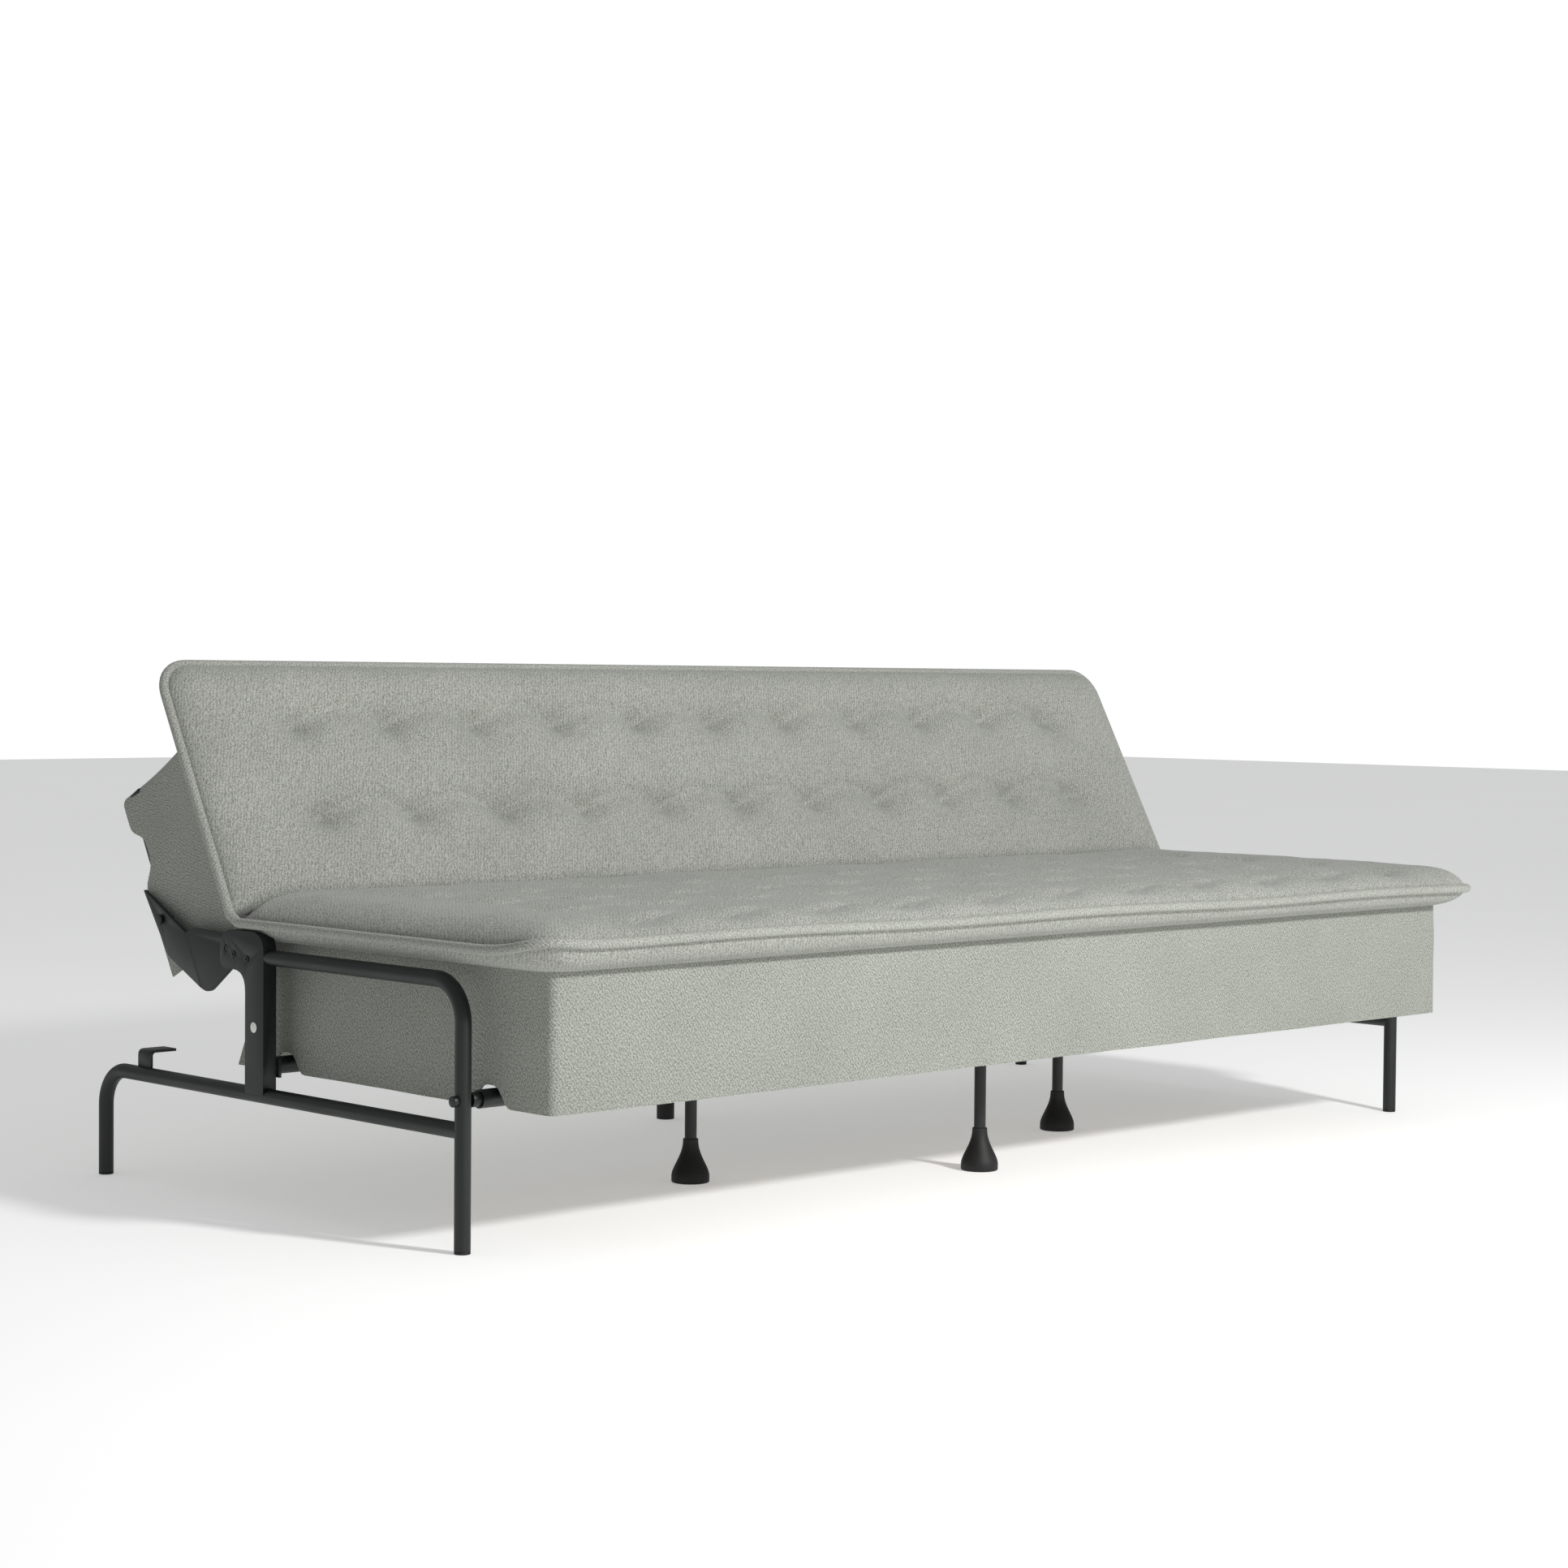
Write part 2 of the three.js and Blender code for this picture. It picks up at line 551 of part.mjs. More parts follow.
// The beam under the middle of the seat, which turns down into the rear middle leg, and its rest.
function centreBeam() {
  const start = CENTRE_LEG_Y - INNER_LEG_D;
  const line = [at(0, start, BEAM_Z), at(0, REST_Y, BEAM_Z), at(0, REST_Y, GLIDE_HEIGHT)];
  add(sofa, "centre_beam", tube(line), STEEL);
  const sleeve = solid(rodZ(0, REST_Y, 0, SLEEVE_HEIGHT, TUBE_D + 2 * SLEEVE_WALL));
  const socket = solid(rodZ(0, REST_Y, GLIDE_HEIGHT - GAP, SLEEVE_HEIGHT + 1, TUBE_D + 2 * GAP));
  add(sofa, "foot_rear_centre", geometryOf(sleeve.subtract(socket)), PLASTIC);
  const padY = REST_Y - 2 * TUBE_BEND;
  const padTop = HOOK_TOP;
  const padBottom = BEAM_Z + TUBE_D / 2 + GAP;
  add(sofa, "centre_rest_pad", rodZ(0, padY, padBottom, padTop, INNER_LEG_D), PLASTIC);
}

// A flared foot turned about Z, with the socket that its leg stands in.
function flaredFoot(name, x, y) {
  const socket = FOOT_HEIGHT - 12;
  const bore = INNER_LEG_D / 2 + GAP;
  const top = FOOT_TOP_D / 2;
  const base = FOOT_BASE_D / 2;
  const flare = new THREE.CubicBezierCurve(
    new THREE.Vector2(base, FOOT_HEIGHT * 0.16),
    new THREE.Vector2(base * 0.74, FOOT_HEIGHT * 0.34),
    new THREE.Vector2(top * 1.12, FOOT_HEIGHT * 0.6),
    new THREE.Vector2(top, FOOT_HEIGHT),
  );
  const profile = [
    new THREE.Vector2(0, 0),
    new THREE.Vector2(base - 2, 0),
    new THREE.Vector2(base, 2),
    ...flare.getPoints(6),
    new THREE.Vector2(bore, FOOT_HEIGHT),
    new THREE.Vector2(bore, FOOT_HEIGHT - socket),
    new THREE.Vector2(0, FOOT_HEIGHT - socket),
  ];
  const foot = new THREE.LatheGeometry(profile, 20).rotateX(Math.PI / 2).translate(x, y, 0);
  add(sofa, name, foot, PLASTIC);
  return FOOT_HEIGHT - socket + GAP;
}

function innerLegs() {
  const beamBottom = BEAM_Z - TUBE_D / 2 - GAP;
  const crossBottom = CROSS_Z - CROSS_D / 2 - GAP;
  const legs = [
    ["front_centre", 0, CENTRE_LEG_Y, beamBottom],
    ["mid_left", -MID_LEG_X, MID_CROSS_Y, crossBottom],
    ["mid_right", MID_LEG_X, MID_CROSS_Y, crossBottom],
  ];
  legs.forEach(([place, x, y, top]) => {
    const bottom = flaredFoot(`foot_${place}`, x, y);
    add(sofa, `leg_${place}`, tube([at(x, y, bottom), at(x, y, top)], INNER_LEG_D), STEEL);
  });
}

function seatMattress() {
  const levels = padLevels(PIPING_Z - SEAT_PAD_BOTTOM, SEAT_FRONT - SKIRT_FRONT + 2 * CLOTH);
  const frontFirst = levels.map(([z, side, fold, end]) => [z, side, end, fold]);
  const pad = padGeometry(-SEAT_FRONT, FOLD_Y - FOLD_ROOM, frontFirst);
  add(sofa, "seat_mattress", pad.translate(0, 0, PIPING_Z), FABRIC);
}

// The seat's skirt: a front panel, two sides notched round the cross tubes, and a sloping rear panel.
function seatSkirt() {
  const top = PIPING_Z - TUCK - GAP;
  const front = box(-SEAT_HALF, SEAT_HALF, -SKIRT_FRONT - CLOTH, -SKIRT_FRONT, SKIRT_BOTTOM, top);
  add(sofa, "seat_skirt_front", front, FABRIC);
  const notchHeight = CROSS_Z + CROSS_D;
  const notch = (y) => polygon([
    [y - CROSS_D * 1.2, 0], [y + CROSS_D * 1.2, 0], [y + CROSS_D * 0.7, notchHeight], [y - CROSS_D * 0.7, notchHeight],
  ]);
  ENDS.forEach(([end, side]) => {
    const [low, high] = span(side, SEAT_HALF, SEAT_HALF + CLOTH);
    const panel = polygon([
      [-SKIRT_FRONT, SKIRT_BOTTOM], [SKIRT_REAR, SKIRT_BOTTOM], [FOLD_Y - FOLD_ROOM, top], [-SKIRT_FRONT, top],
    ]);
    let body = solid(sheetX(panel, low, high));
    [0, POST_FRONT + POST_DEPTH / 2].forEach((y) => {
      body = body.subtract(solid(sheetX(notch(y), low - 1, high + 1)));
    });
    add(sofa, `seat_skirt_${end}`, geometryOf(body), FABRIC);
  });
  const rearBottom = Math.max(SKIRT_BOTTOM, BEAM_Z + TUBE_D / 2 + 2 * GAP);
  const rear = polygon([
    [SKIRT_REAR - CLOTH, rearBottom], [SKIRT_REAR, rearBottom],
    [FOLD_Y - FOLD_ROOM, top], [FOLD_Y - FOLD_ROOM - CLOTH, top],
  ]);
  add(sofa, "seat_skirt_rear", sheetX(rear, -SEAT_HALF + GAP, SEAT_HALF - GAP), FABRIC);
}

// A point of the back, given by its distance up from the fold line and its depth, in the sofa's (y, z).
function backPoint(up, depth) {
  const y = FOLD_Y + up * Math.cos(TILT) + depth * Math.sin(TILT);
  const z = PIPING_Z + up * Math.sin(TILT) - depth * Math.cos(TILT);
  return new THREE.Vector2(y, z);
}

// The bent plate that carries the back: it turns on the pin, reaches back and down out of the post,
// and its wing bends in to the back's side rail, where a bolt holds it.
function backBracket(end, side) {
  const middle = OUTER_X - POST_SHEET - PLATE_ROOM - PLATE / 2;
  const [low, high] = span(side, middle - PLATE / 2, middle + PLATE / 2);
  const eye = 18;
  const foot = backPoint(-45, BACK_DEPTH - 68);
  const head = backPoint(40, BACK_DEPTH - 70);
  const tip = backPoint(-62, BACK_DEPTH - 84);
  const arm = roundedPolygon([
    [PIVOT_Y - eye, PIVOT_Z + eye, eye * 0.8],
    [PIVOT_Y - eye, PIVOT_Z - eye, eye * 0.8],
    [tip.x, tip.y, 14],
    [foot.x, foot.y, 2],
    [head.x, head.y, 3],
    [head.x - 20, head.y + 9, 8],
  ]);
  const outerHigh = backPoint(151, BACK_DEPTH + 17);
  const outerLow = backPoint(35, BACK_DEPTH - 1);
  const wing = roundedPolygon([
    [foot.x - 1, foot.y, 0],
    [head.x - 1, head.y, 0],
    [outerHigh.x, outerHigh.y, 6],
    [outerLow.x, outerLow.y, 4],
  ]);
  const wingSheet = sheetX(wing, low, high);
  const axis = at(0, head.x - foot.x, head.y - foot.y).normalize();
  const bend = THREE.MathUtils.degToRad(WING_BEND);
  wingSheet.translate(-side * middle, -foot.x, -foot.y);
  wingSheet.applyMatrix4(new THREE.Matrix4().makeRotationAxis(axis, side * bend));
  wingSheet.translate(side * middle, foot.x, foot.y);
  const eyeHole = rodX(low - 1, high + 1, PIVOT_Y, PIVOT_Z, PIN_D + 2 * FIT);

  const bolt = backPoint(WING_BOLT_UP, BACK_DEPTH - RAIL_WIDTH / 2);
  const fromFold = (bolt.x - foot.x) * axis.z - (bolt.y - foot.y) * axis.y;
  const wingX = middle - fromFold * Math.sin(bend);
  const boltHole = rodX(...span(side, wingX - 3 * PLATE, wingX + 3 * PLATE), bolt.x, bolt.y, SOCKET_BOLT_D + 4 * FIT);
  const joined = solid(sheetX(arm, low, high)).add(solid(wingSheet));
  const drilled = joined.subtract(solid(eyeHole)).subtract(solid(boltHole));
  add(sofa, `back_bracket_${end}`, geometryOf(drilled), STEEL);

  const headD = 15;
  const headStart = wingX + PLATE / 2 + (headD / 2) * Math.sin(bend) + FIT;
  const boltHead = rodX(...span(side, headStart, headStart + 4), bolt.x, bolt.y, headD);
  const railFace = BACK_RAIL_X + RAIL_WIDTH;
  const shank = rodX(...span(side, railFace - RAIL_WIDTH / 2, headStart + 1), bolt.x, bolt.y, SOCKET_BOLT_D);
  add(sofa, `back_bolt_${end}`, geometryOf(solid(boltHead).add(solid(shank))), STEEL);
}

// A hole for the bracket's bolt through something of the back, which lies between x = near and far.
function boltHoleInBack(side, near, far) {
  const depth = BACK_DEPTH - RAIL_WIDTH / 2;
  return solid(rodX(...span(side, near, far), WING_BOLT_UP, -depth, SOCKET_BOLT_D + 2 * FIT));
}

// The back's frame, in the back's own frame, where z is minus the depth below its edge seam.
function backFrame() {
  const low = -BACK_DEPTH;
  ENDS.forEach(([end, side]) => {
    const lowX = side < 0 ? -BACK_RAIL_X - RAIL_WIDTH : BACK_RAIL_X;
    const rail = solid(squareTube(lowX, BACK_RAIL_START, BACK_RAIL_END, low));
    const hole = boltHoleInBack(side, BACK_RAIL_X, BACK_HALF + CLOTH);
    add(back, `back_rail_${end}`, geometryOf(rail.subtract(hole)), STEEL);
  });
  const half = BACK_RAIL_X - GAP;
  [["lower", BACK_RAIL_START], ["upper", BACK_RAIL_END - RAIL_WIDTH]].forEach(([place, y]) => {
    const rail = squareTube(-RAIL_WIDTH / 2, -half, half, low).rotateZ(Math.PI / 2);
    add(back, `back_cross_rail_${place}`, rail.translate(0, y + RAIL_WIDTH / 2, 0), STEEL);
  });
  const room = BACK_RAIL_END - BACK_RAIL_START - SLAT_WIDTH;
  for (let i = 0; i < BACK_SLATS; i += 1) {
    const y = BACK_RAIL_START + (room * i) / (BACK_SLATS - 1);
    const reach = SEAT_HALF - CLOTH;
    const slat = box(-reach, reach, y, y + SLAT_WIDTH, -BACK_SLAT_TOP - SLAT_THICK, -BACK_SLAT_TOP);
    add(back, `back_slat_${i + 1}`, slat, BEECH);
  }
}

function backMattress() {
  const levels = padLevels(BACK_PAD_BOTTOM, BACK_LENGTH - BACK_SKIRT_END + 2 * CLOTH);
  const pad = padGeometry(FOLD_ROOM, BACK_LENGTH, levels);
  add(back, "back_mattress", pad, FABRIC);
}

// The back's skirt: two end panels, lifted over the rest hooks at the hem, and one along the top.
function backSkirt() {
  const pivotUp = (PIVOT_Y - FOLD_Y) * Math.cos(TILT) + (PIVOT_Z - PIPING_Z) * Math.sin(TILT);
  const hookUp = REST_Y - PIVOT_Y + pivotUp;
  const lift = BACK_HEM + 6;
  const hem = -BACK_DEPTH - BACK_HEM;
  const slope = 20;
  const top = -TUCK - GAP;
  const half = HOOK_WIDTH / 2 + 6;
  const panel = polygon([
    [BACK_SKIRT_START, top],
    [BACK_SKIRT_START, hem],
    [BACK_SKIRT_END, hem],
    [BACK_SKIRT_END + 6, top],
  ]);
  const arch = polygon([
    [hookUp - half - slope, hem - 1],
    [hookUp + half + slope, hem - 1],
    [hookUp + half, hem + lift],
    [hookUp - half, hem + lift],
  ]);
  ENDS.forEach(([end, side]) => {
    const cloth = solid(sheetX(panel, ...span(side, BACK_HALF, BACK_HALF + CLOTH)));
    const hole = boltHoleInBack(side, BACK_HALF - CLOTH, BACK_HALF + 2 * CLOTH);
    const lifted = solid(sheetX(arch, ...span(side, BACK_HALF - CLOTH, BACK_HALF + 2 * CLOTH)));
    add(back, `back_skirt_${end}`, geometryOf(cloth.subtract(hole).subtract(lifted)), FABRIC);
  });
  const reach = BACK_HALF - GAP;
  const far = box(-reach, reach, BACK_SKIRT_END - CLOTH, BACK_SKIRT_END, hem, top);
  add(back, "back_skirt_top", far, FABRIC);
}

let crossHalf = 0;
ENDS.forEach(([end, side]) => {
  frontLeg(end, side);
  lowerRail(end, side);
  hingePost(end, side);
  headBolts(end, side);
  hingePin(end, side);
  postBadge(end, side);
  restHook(end, side);
  legGlides(end, side);
  crossHalf = legBolt(end, side);
  backBracket(end, side);
});
crossTubes(crossHalf);
seatFrame();
centreBeam();
innerLegs();
seatMattress();
seatSkirt();
backFrame();
backMattress();
backSkirt();

// The origin is on the floor at the middle of the sofa's footprint.
sofa.updateMatrixWorld(true);
const footprint = new THREE.Box3().setFromObject(sofa, true);
sofa.position.y = -(footprint.min.y + footprint.max.y) / 2;

export default sofa;
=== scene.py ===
"""A fold-down sofa bed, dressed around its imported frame.

The frame gives every place and size. Metal pieces are remade round and softened at their edges, the
two mattresses are tufted pads with a corded seam, and the skirts are hanging cloth. Lengths are in
metres, +Z is up, X runs along the sofa and the seat faces -Y.
"""

import logging
import math
from dataclasses import dataclass, field
from enum import Enum
from typing import Callable, Iterable, Sequence

import bmesh
import bpy
import numpy as np
from mathutils import Matrix, Vector, noise


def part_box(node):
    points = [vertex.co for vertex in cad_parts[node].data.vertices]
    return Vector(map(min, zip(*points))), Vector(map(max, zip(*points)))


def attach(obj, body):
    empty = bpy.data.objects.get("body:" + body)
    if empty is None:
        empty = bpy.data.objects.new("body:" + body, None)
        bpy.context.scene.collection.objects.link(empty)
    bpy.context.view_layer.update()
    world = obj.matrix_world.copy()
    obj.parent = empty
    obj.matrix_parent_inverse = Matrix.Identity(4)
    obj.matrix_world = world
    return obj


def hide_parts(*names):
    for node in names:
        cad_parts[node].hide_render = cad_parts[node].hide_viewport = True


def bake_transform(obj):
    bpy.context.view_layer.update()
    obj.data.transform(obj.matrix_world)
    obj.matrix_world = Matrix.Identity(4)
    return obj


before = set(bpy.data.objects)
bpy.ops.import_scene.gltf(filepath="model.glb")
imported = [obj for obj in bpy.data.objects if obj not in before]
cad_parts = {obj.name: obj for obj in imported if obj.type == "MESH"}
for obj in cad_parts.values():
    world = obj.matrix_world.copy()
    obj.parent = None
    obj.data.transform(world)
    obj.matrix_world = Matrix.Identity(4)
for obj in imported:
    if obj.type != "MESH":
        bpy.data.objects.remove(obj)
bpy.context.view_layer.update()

logging.basicConfig(level=logging.INFO, format="%(name)s: %(message)s")
LOG = logging.getLogger("sofa_bed")

MM = 0.001
BASE = "base"
BACKREST = "backrest"
ENDS = {"left": -1.0, "right": 1.0}


class Slot(Enum):
    """The record's material slots."""

    STEEL = "black_steel"
    PLASTIC = "black_plastic"
    FABRIC = "woven_fabric"
    BEECH = "beech_slat"
    BADGE = "badge_print"


# ---------------------------------------------------------------- colours and nodes


def linear(code: str) -> tuple[float, float, float, float]:
    """Turns an sRGB hex colour to linear.

    Args:
        code: six hex digits.

    Returns:
        Linear red, green, blue and an alpha of 1.
    """
    parts = [int(code[i : i + 2], 16) / 255 for i in (0, 2, 4)]
    lin = [p / 12.92 if p <= 0.04045 else ((p + 0.055) / 1.055) ** 2.4 for p in parts]
    return (lin[0], lin[1], lin[2], 1.0)


def add_node(
    tree: bpy.types.NodeTree, kind: str, links: dict | None = None, **settings: object
) -> bpy.types.Node:
    """Adds a shader node with its settings and links.

    Args:
        tree: the material's node tree.
        kind: the node's type, such as ShaderNodeTexNoise.
        links: for each input's name or number, the socket linked to it or the value set on it.
        settings: properties of the node itself.

    Returns:
        The new node.
    """
    node = tree.nodes.new(kind)
    for name, value in settings.items():
        setattr(node, name, value)
    for key, value in (links or {}).items():
        if isinstance(value, bpy.types.NodeSocket):
            tree.links.new(value, node.inputs[key])
        else:
            node.inputs[key].default_value = value
    return node


def add_ramp(
    tree: bpy.types.NodeTree, factor: bpy.types.NodeSocket, stops: Sequence[tuple]
) -> bpy.types.NodeSocket:
    """Adds a colour ramp.

    Args:
        tree: the material's node tree.
        factor: what the ramp reads.
        stops: pairs of a place from 0 to 1 and a linear colour.

    Returns:
        The ramp's colour socket.
    """
    node = add_node(tree, "ShaderNodeValToRGB", {0: factor})
    elements = node.color_ramp.elements
    while len(elements) < len(stops):
        elements.new(0.5)
    for element, (place, colour) in zip(elements, stops):
        element.position = place
        element.color = colour
    return node.outputs[0]


def grey(value: float) -> tuple[float, float, float, float]:
    """A linear grey."""
    return (value, value, value, 1.0)


@dataclass(frozen=True)
class Finish:
    """What every finish has: a name and a principled shader."""

    name: str

    def start(self, coordinates: str = "Object") -> tuple:
        """Makes the empty material.

        Args:
            coordinates: the texture coordinates that its patterns read, Object or UV.

        Returns:
            The material, its node tree, its principled shader and the coordinates' socket.
        """
        material = bpy.data.materials.new(self.name)
        material.use_nodes = True
        tree = material.node_tree
        coords = add_node(tree, "ShaderNodeTexCoord")
        return material, tree, tree.nodes["Principled BSDF"], coords.outputs[coordinates]


@dataclass(frozen=True)
class MelangeTwill(Finish):
    """Wool-blend upholstery twill, woven from light and dark yarns twisted together.

    The two yarn colours show as short flecks along a diagonal rib, and the brushed fibres give a
    faint sheen at grazing angles. The flecks are near the real yarn's width, so they show close up
    and blend to an even tone from across a room.
    """

    light: str = "babbb4"
    dark: str = "777a73"
    fleck_mm: float = 1.7
    rib_mm: float = 4.5
    bump: float = 0.14
    use_uv: bool = True

    def build(self) -> bpy.types.Material:
        """Builds the material from the piece's own cloth coordinates, in metres."""
        material, tree, shader, place = self.start("UV" if self.use_uv else "Object")
        turned = add_node(tree, "ShaderNodeMapping", {0: place, "Rotation": (0, 0, math.radians(38))})
        stretched = add_node(tree, "ShaderNodeMapping", {0: turned.outputs[0], "Scale": (1.0, 0.65, 1.0)})
        fleck = add_node(
            tree,
            "ShaderNodeTexNoise",
            {0: stretched.outputs[0], "Scale": 1 / (self.fleck_mm * MM), "Detail": 3.0, "Roughness": 0.62},
        )
        rib = add_node(
            tree,
            "ShaderNodeTexWave",
            {0: turned.outputs[0], "Scale": 1 / (self.rib_mm * MM * 3.2), "Distortion": 7.0, "Detail": 3.0,
             "Detail Scale": 2.0},
        )
        cloud = add_node(tree, "ShaderNodeTexNoise", {0: place, "Scale": 7.0, "Detail": 2.0})
        yarn = add_node(
            tree, "ShaderNodeMix", {0: 0.10, "A": fleck.outputs["Fac"], "B": rib.outputs["Fac"]}
        )
        tint = add_ramp(tree, yarn.outputs[0], [(0.37, linear(self.dark)), (0.63, linear(self.light))])
        shade = add_ramp(tree, cloud.outputs["Fac"], [(0.25, grey(0.90)), (0.75, grey(1.0))])
        colour = add_node(
            tree, "ShaderNodeMix", {0: 1.0, "A": tint, "B": shade}, data_type="RGBA", blend_type="MULTIPLY"
        )
        bump = add_node(
            tree, "ShaderNodeBump", {"Strength": self.bump, "Distance": 0.6 * MM, "Height": yarn.outputs[0]}
        )
        tree.links.new(colour.outputs[2], shader.inputs["Base Color"])
        tree.links.new(bump.outputs[0], shader.inputs["Normal"])
        shader.inputs["Roughness"].default_value = 0.92
        shader.inputs["Specular IOR Level"].default_value = 0.25
        shader.inputs["Sheen Weight"].default_value = 0.22
        shader.inputs["Sheen Roughness"].default_value = 0.45
        return material


@dataclass(frozen=True)
class PowderCoat(Finish):
    """Steel with a baked black polyester powder coat: semi-matt, with a fine orange-peel skin."""

    base: str = "0a0e0f"
    worn: str = "141a1b"
    peel_mm: float = 0.9

    def build(self) -> bpy.types.Material:
        """Builds the material on Object coordinates."""
        material, tree, shader, place = self.start()
        fine = 1 / (self.peel_mm * MM)
        peel = add_node(tree, "ShaderNodeTexNoise", {0: place, "Scale": fine, "Detail": 2.0})
        cloud = add_node(tree, "ShaderNodeTexNoise", {0: place, "Scale": 14.0, "Detail": 4.0})
        colour = add_ramp(tree, cloud.outputs["Fac"], [(0.35, linear(self.base)), (0.75, linear(self.worn))])
        gloss = add_ramp(tree, cloud.outputs["Fac"], [(0.3, grey(0.40)), (0.7, grey(0.52))])
        bump = add_node(
            tree, "ShaderNodeBump", {"Strength": 0.25, "Distance": 0.08 * MM, "Height": peel.outputs["Fac"]}
        )
        tree.links.new(colour, shader.inputs["Base Color"])
        tree.links.new(gloss, shader.inputs["Roughness"])
        tree.links.new(bump.outputs[0], shader.inputs["Normal"])
        shader.inputs["IOR"].default_value = 1.5
        return material


@dataclass(frozen=True)
class MouldedPlastic(Finish):
    """Glass-filled nylon, moulded black with a fine spark-eroded texture that keeps it matt."""

    base: str = "0a0b0b"
    scuffed: str = "131515"
    grain_mm: float = 1.1

    def build(self) -> bpy.types.Material:
        """Builds the material on Object coordinates."""
        material, tree, shader, place = self.start()
        fine = 1 / (self.grain_mm * MM)
        grain = add_node(tree, "ShaderNodeTexNoise", {0: place, "Scale": fine, "Detail": 3.0})
        scuff = add_node(tree, "ShaderNodeTexNoise", {0: place, "Scale": 45.0, "Detail": 5.0})
        colour = add_ramp(tree, scuff.outputs["Fac"], [(0.4, linear(self.base)), (0.8, linear(self.scuffed))])
        bump = add_node(
            tree, "ShaderNodeBump", {"Strength": 0.35, "Distance": 0.1 * MM, "Height": grain.outputs["Fac"]}
        )
        tree.links.new(colour, shader.inputs["Base Color"])
        tree.links.new(bump.outputs[0], shader.inputs["Normal"])
        shader.inputs["Roughness"].default_value = 0.62
        return material


@dataclass(frozen=True)
class LacqueredBeech(Finish):
    """Laminated beech under a clear lacquer: long straight grain with short darker ray flecks."""

    pale: str = "d8b98c"
    deep: str = "b98f5c"
    grain_mm: float = 7.0

    def build(self) -> bpy.types.Material:
        """Builds the material on Object coordinates, with the grain along X."""
        material, tree, shader, place = self.start()
        along = add_node(tree, "ShaderNodeMapping", {0: place, "Scale": (0.06, 1.0, 1.0)})
        grain = add_node(
            tree, "ShaderNodeTexNoise",
            {0: along.outputs[0], "Scale": 1 / (self.grain_mm * MM), "Detail": 6.0, "Distortion": 0.4},
        )
        colour = add_ramp(tree, grain.outputs["Fac"], [(0.3, linear(self.deep)), (0.7, linear(self.pale))])
        bump = add_node(
            tree, "ShaderNodeBump", {"Strength": 0.2, "Distance": 0.1 * MM, "Height": grain.outputs["Fac"]}
        )
        tree.links.new(colour, shader.inputs["Base Color"])
        tree.links.new(bump.outputs[0], shader.inputs["Normal"])
        shader.inputs["Roughness"].default_value = 0.42
        return material


@dataclass(frozen=True)
class PrintedFilm(Finish):
    """A satin polyester sticker, plain off-white, with a faint mottle where it has been touched."""

    base: str = "e9ebe6"
    mottle: str = "d2d5cf"

    def build(self) -> bpy.types.Material:
        """Builds the material on Object coordinates."""
        material, tree, shader, place = self.start()
        cloud = add_node(tree, "ShaderNodeTexNoise", {0: place, "Scale": 400.0, "Detail": 3.0})
        colour = add_ramp(tree, cloud.outputs["Fac"], [(0.35, linear(self.mottle)), (0.6, linear(self.base))])
        tree.links.new(colour, shader.inputs["Base Color"])
        shader.inputs["Roughness"].default_value = 0.4
        return material


@dataclass
class Finishes:
    """Every finish, built once."""

    cover: bpy.types.Material = field(init=False)
    cord: bpy.types.Material = field(init=False)
    skirt: bpy.types.Material = field(init=False)
    steel: bpy.types.Material = field(init=False)
    plastic: bpy.types.Material = field(init=False)
    beech: bpy.types.Material = field(init=False)
    badge: bpy.types.Material = field(init=False)

    def __post_init__(self) -> None:
        """Builds the materials."""
        self.cover = MelangeTwill("melange_twill_cover", use_uv=False).build()
        self.cord = MelangeTwill("melange_twill_cord").build()
        self.skirt = MelangeTwill("melange_twill_skirt", light="b0b2aa", dark="6c6f68", bump=0.16).build()
        self.steel = PowderCoat("powder_coated_steel").build()
        self.plastic = MouldedPlastic("moulded_black_nylon").build()
        self.beech = LacqueredBeech("lacquered_beech").build()
        self.badge = PrintedFilm("printed_polyester_film").build()


# ---------------------------------------------------------------- mesh helpers


def deselect() -> None:
    """Clears the selection, with the view layer's active object left alone."""
    for obj in bpy.context.selected_objects:
        obj.select_set(False)


def activate(obj: bpy.types.Object) -> bpy.types.Object:
    """Makes obj the only selected object, and the active one."""
    deselect()
    obj.select_set(True)
    bpy.context.view_layer.objects.active = obj
    return obj


def apply_modifiers(obj: bpy.types.Object) -> None:
    """Applies every modifier on obj, in order."""
    activate(obj)
    for modifier in list(obj.modifiers):
        bpy.ops.object.modifier_apply(modifier=modifier.name)


def places(obj: bpy.types.Object) -> np.ndarray:
    """Reads obj's vertices as an array of rows x, y, z."""
    flat = np.empty(len(obj.data.vertices) * 3, np.float32)
    obj.data.vertices.foreach_get("co", flat)
    return flat.reshape(-1, 3).astype(float)


def put(obj: bpy.types.Object, points: np.ndarray) -> None:
    """Writes obj's vertices from an array of rows x, y, z."""
    obj.data.vertices.foreach_set("co", np.ascontiguousarray(points, np.float32).ravel())
    obj.data.update()


def close_doubles(obj: bpy.types.Object, gap: float = 0.02 * MM, outward: bool = True) -> None:
    """Merges vertices that share a place, and turns the faces out.

    Args:
        obj: the mesh object.
        gap: how far apart two vertices may be and still merge.
        outward: whether the normals are recalculated.
    """
    activate(obj)
    bpy.ops.object.mode_set(mode="EDIT")
    bpy.ops.mesh.select_all(action="SELECT")
    bpy.ops.mesh.remove_doubles(threshold=gap)
    if outward:
        bpy.ops.mesh.normals_make_consistent(inside=False)
    bpy.ops.object.mode_set(mode="OBJECT")


